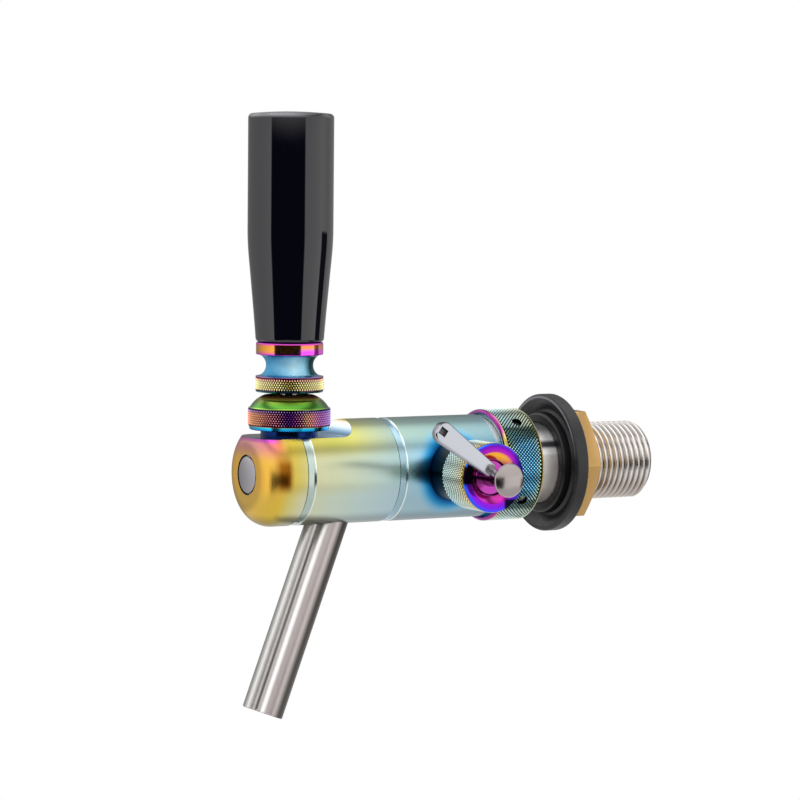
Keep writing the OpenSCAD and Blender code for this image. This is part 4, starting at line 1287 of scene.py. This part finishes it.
@dataclass
class WallFittings:
    """Flange and wall nut."""

    nut_front_y: float = -6.3
    nut_flat_r: float = 15.0
    nut_bore_r: float = 10.26
    nut_chamfer: float = 0.95

    def nut(self) -> Piece:
        """Hexagonal nut, chamfered at both faces, with a corner towards +X.

        Returns:
            The piece.
        """
        corner_r = self.nut_flat_r / math.cos(math.pi / 6)
        edge_r = self.nut_flat_r - 0.2
        piece = rod("hex_nut_milled", Vector((0, self.nut_front_y, 0)), Vector((0, 0, 0)),
                    corner_r, 6)
        lowest = min(v.co.z for v in piece.data.vertices)
        if abs(lowest + mm(corner_r)) < MERGE_M:
            piece.rotation_euler = (0, math.pi / 6, 0)
            apply_place()
        profile = [(self.nut_bore_r, self.nut_front_y), (edge_r, self.nut_front_y),
                   (corner_r + 0.1, self.nut_front_y + self.nut_chamfer),
                   (corner_r + 0.1, -self.nut_chamfer), (edge_r, 0), (self.nut_bore_r, 0)]
        envelope = turn("nut_envelope", Axis.SHANK, profile, 96, ring=True)
        combine(piece, envelope, Join.KEEP_COMMON)
        soften(piece, 0.12, 2, 25)
        return piece

    def build(self) -> None:
        """Dress the flange and make the nut."""
        settle(self.nut(), "tap_body", "brass", BRASS, "hex_nut", sharp=25)
        dress_nodes(NYLON, "wall_flange")


def shown(tree: Tree) -> Node:
    """Find where the background's white shows: to the camera, and in metal and glass.

    Args:
        tree: the node tree.

    Returns:
        A node that gives 1 there and 0 elsewhere.
    """
    light = add(tree, "LightPath")
    total = light.outputs["Is Camera Ray"]
    for kind in ("Is Glossy Ray", "Is Transmission Ray"):
        total = add(tree, "Math", {0: total, 1: light.outputs[kind]}, operation="MAXIMUM")
    return total


@dataclass
class Studio:
    """Camera, floor and light.

    What metal and gloss mirror is given as angles in degrees, each with a brightness there:
    round_camera counts from the camera towards its right, below_part darkens the same angles
    under the horizon, and overhead counts up from the horizon.
    """

    place: tuple[float, float, float] = (828.75, -523.98, 88.28)
    azimuth: float = 60.6
    pitch: float = 4.15
    roll: float = 0.53
    lens: float = 153.0
    floor_z: float = -210.0
    floor_size: float = 1.0
    floor_fade: tuple[float, float] = (0.08, 0.42)
    plain_light: float = 0.85
    round_camera: Stops = (
        (-180, 0.3), (-140, 0.42), (-100, 0.95), (-53, 1.5), (-50.5, 0.012), (40.0, 0.012),
        (42.0, 1.35), (94, 1.5), (120.5, 0.8), (150, 0.5), (180, 0.3))
    below_part: Stops = (
        (0, 1), (94, 1), (96.5, 0.03), (118, 0.04), (120.5, 1), (180, 1))
    overhead: Stops = (
        (0, 1.25), (22, 1.35), (33, 1.55), (38, 1.2), (44, 0.5), (49, 0.7), (54, 1.4), (60, 2.1),
        (70, 1.9), (80, 1.2), (90, 0.8))

    def camera(self) -> None:
        """Stand the camera where the photograph was taken from."""
        a, p, s = (math.radians(v) for v in (self.azimuth, self.pitch, self.roll))
        view = Vector((-math.sin(a) * math.cos(p), math.cos(a) * math.cos(p), -math.sin(p)))
        right = view.cross(Vector((0, 0, 1))).normalized()
        up = right.cross(view)
        turned_right = right * math.cos(s) + up * math.sin(s)
        turned_up = up * math.cos(s) - right * math.sin(s)
        data = bpy.data.cameras.new("camera")
        data.lens, data.sensor_width = self.lens, 36.0
        data.clip_start, data.clip_end = 0.05, 50.0
        camera = bpy.data.objects.new("camera", data)
        bpy.context.scene.collection.objects.link(camera)
        axes = Matrix((turned_right, turned_up, -view)).transposed()
        camera.matrix_world = Matrix.Translation(Vector(self.place) * 0.001) @ axes.to_4x4()
        bpy.context.scene.camera = camera

    def world(self) -> None:
        """Plain light for matt surfaces, and a white background that metal and glass show too.

        Reflections see what stands round the camera: a low black card behind it, a soft box on
        each side, a thin black card lower on the right, shade at the back, and soft boxes
        overhead with a gap between them.
        """
        a = math.radians(self.azimuth)
        to_camera = (math.sin(a), -math.cos(a), 0.0)
        to_right = (math.cos(a), math.sin(a), 0.0)
        world = bpy.data.worlds.new("studio")
        world.cycles.sampling_method = "NONE"
        bpy.context.scene.world = world
        tree = blank(world)
        way = add(tree, "TexCoord").outputs["Generated"]
        near = add(tree, "VectorMath", {0: way, 1: to_camera}, operation="DOT_PRODUCT")
        side = add(tree, "VectorMath", {0: way, 1: to_right}, operation="DOT_PRODUCT")
        turned = add(tree, "Math", {0: side, 1: near}, operation="ARCTAN2")
        share = add(tree, "MapRange", {0: turned, 1: -math.pi, 2: math.pi})
        wide, strip = (self.cards(tree, share, 180, stops)
                       for stops in (self.round_camera, self.below_part))
        height = add(tree, "SeparateXYZ", {0: way}).outputs[2]
        raised = add(tree, "Math", {0: height}, operation="ARCSINE")
        low = add(tree, "MapRange", {0: raised, 1: math.radians(-1.9), 2: math.radians(-2.5)})
        around = add(tree, "Mix", {0: low, 6: wide, 7: strip}, data_type="RGBA",
                     blend_type="MULTIPLY")
        lift = add(tree, "MapRange", {0: raised, 1: -math.pi / 2, 2: math.pi / 2})
        above = self.cards(tree, lift, 90, self.overhead)
        shade = add(tree, "MapRange", {0: near, 1: -0.95, 2: -0.5, 3: 0.25, 4: 1.0},
                    interpolation_type="SMOOTHSTEP")
        shaded = add(tree, "Mix", {0: 1.0, 6: above, 7: shade}, data_type="RGBA",
                     blend_type="MULTIPLY")
        level = add(tree, "MapRange", {0: raised, 1: math.radians(3), 2: math.radians(6)},
                    interpolation_type="SMOOTHSTEP")
        every = add(tree, "Mix", {0: level, 6: around, 7: shaded}, data_type="RGBA")
        camera_ray = add(tree, "LightPath").outputs["Is Camera Ray"]
        back = add(tree, "Mix", {0: camera_ray, 6: every, 7: (1, 1, 1, 1)}, data_type="RGBA")
        plain = add(tree, "Background", {"Color": (1, 1, 1, 1), "Strength": self.plain_light})
        seen = add(tree, "Background", {"Color": back, "Strength": 1.0})
        both = add(tree, "MixShader", {0: shown(tree), 1: plain, 2: seen})
        add(tree, "OutputWorld", {"Surface": both})

    def cards(self, tree: Tree, share: Node, most: float, stops: Stops) -> Node:
        """Brightness by angle, where share goes from 0 at -most degrees to 1 at most degrees."""
        return add(tree, "ValToRGB", {0: share},
                   [((d + most) / (2 * most), (v, v, v, 1)) for d, v in stops])

    def floor(self) -> None:
        """Plain pale floor that holds the tap's shadow and fades to the background's white."""
        bpy.ops.object.select_all(action="DESELECT")
        bpy.ops.mesh.primitive_plane_add(size=self.floor_size, location=(0, 0, mm(self.floor_z)))
        floor = bpy.context.object
        floor.name = "floor"
        apply_place()
        made = bpy.data.materials.new("pale_floor")
        tree = blank(made)
        place = add(tree, "TexCoord").outputs["Object"]
        flat = add(tree, "VectorMath", {0: place, 1: (1, 1, 0)}, operation="MULTIPLY")
        away = add(tree, "VectorMath", {0: flat}, operation="LENGTH")
        near, far = self.floor_fade
        fade = add(tree, "MapRange", {0: away, 1: near, 2: far, 3: 0.75, 4: 1.0},
                   interpolation_type="SMOOTHSTEP")
        share = add(tree, "Math", {0: shown(tree), 1: fade}, operation="MULTIPLY")
        paint = add(tree, "BsdfDiffuse", {"Color": (0.85, 0.85, 0.85, 1)})
        glow = add(tree, "Emission", {"Color": (1, 1, 1, 1), "Strength": 1.0})
        both = add(tree, "MixShader", {0: share, 1: paint, 2: glow})
        add(tree, "OutputMaterial", {"Surface": both})
        floor.data.materials.append(made)

    def build(self) -> None:
        """Set the whole studio up."""
        self.camera()
        self.world()
        self.floor()
        bpy.context.scene.view_settings.view_transform = "Standard"
        LOG.info("studio: camera, world and floor")


def main() -> None:
    """Build every sub-assembly and the studio."""
    logging.basicConfig(level=logging.INFO, format="%(name)s: %(message)s")
    for part in (Studio(), Handle(), Bonnet(), Body(), Spout(), FlowControl(), Coupling(),
                 WallFittings()):
        part.build()


if __name__ == "__main__":
    main()
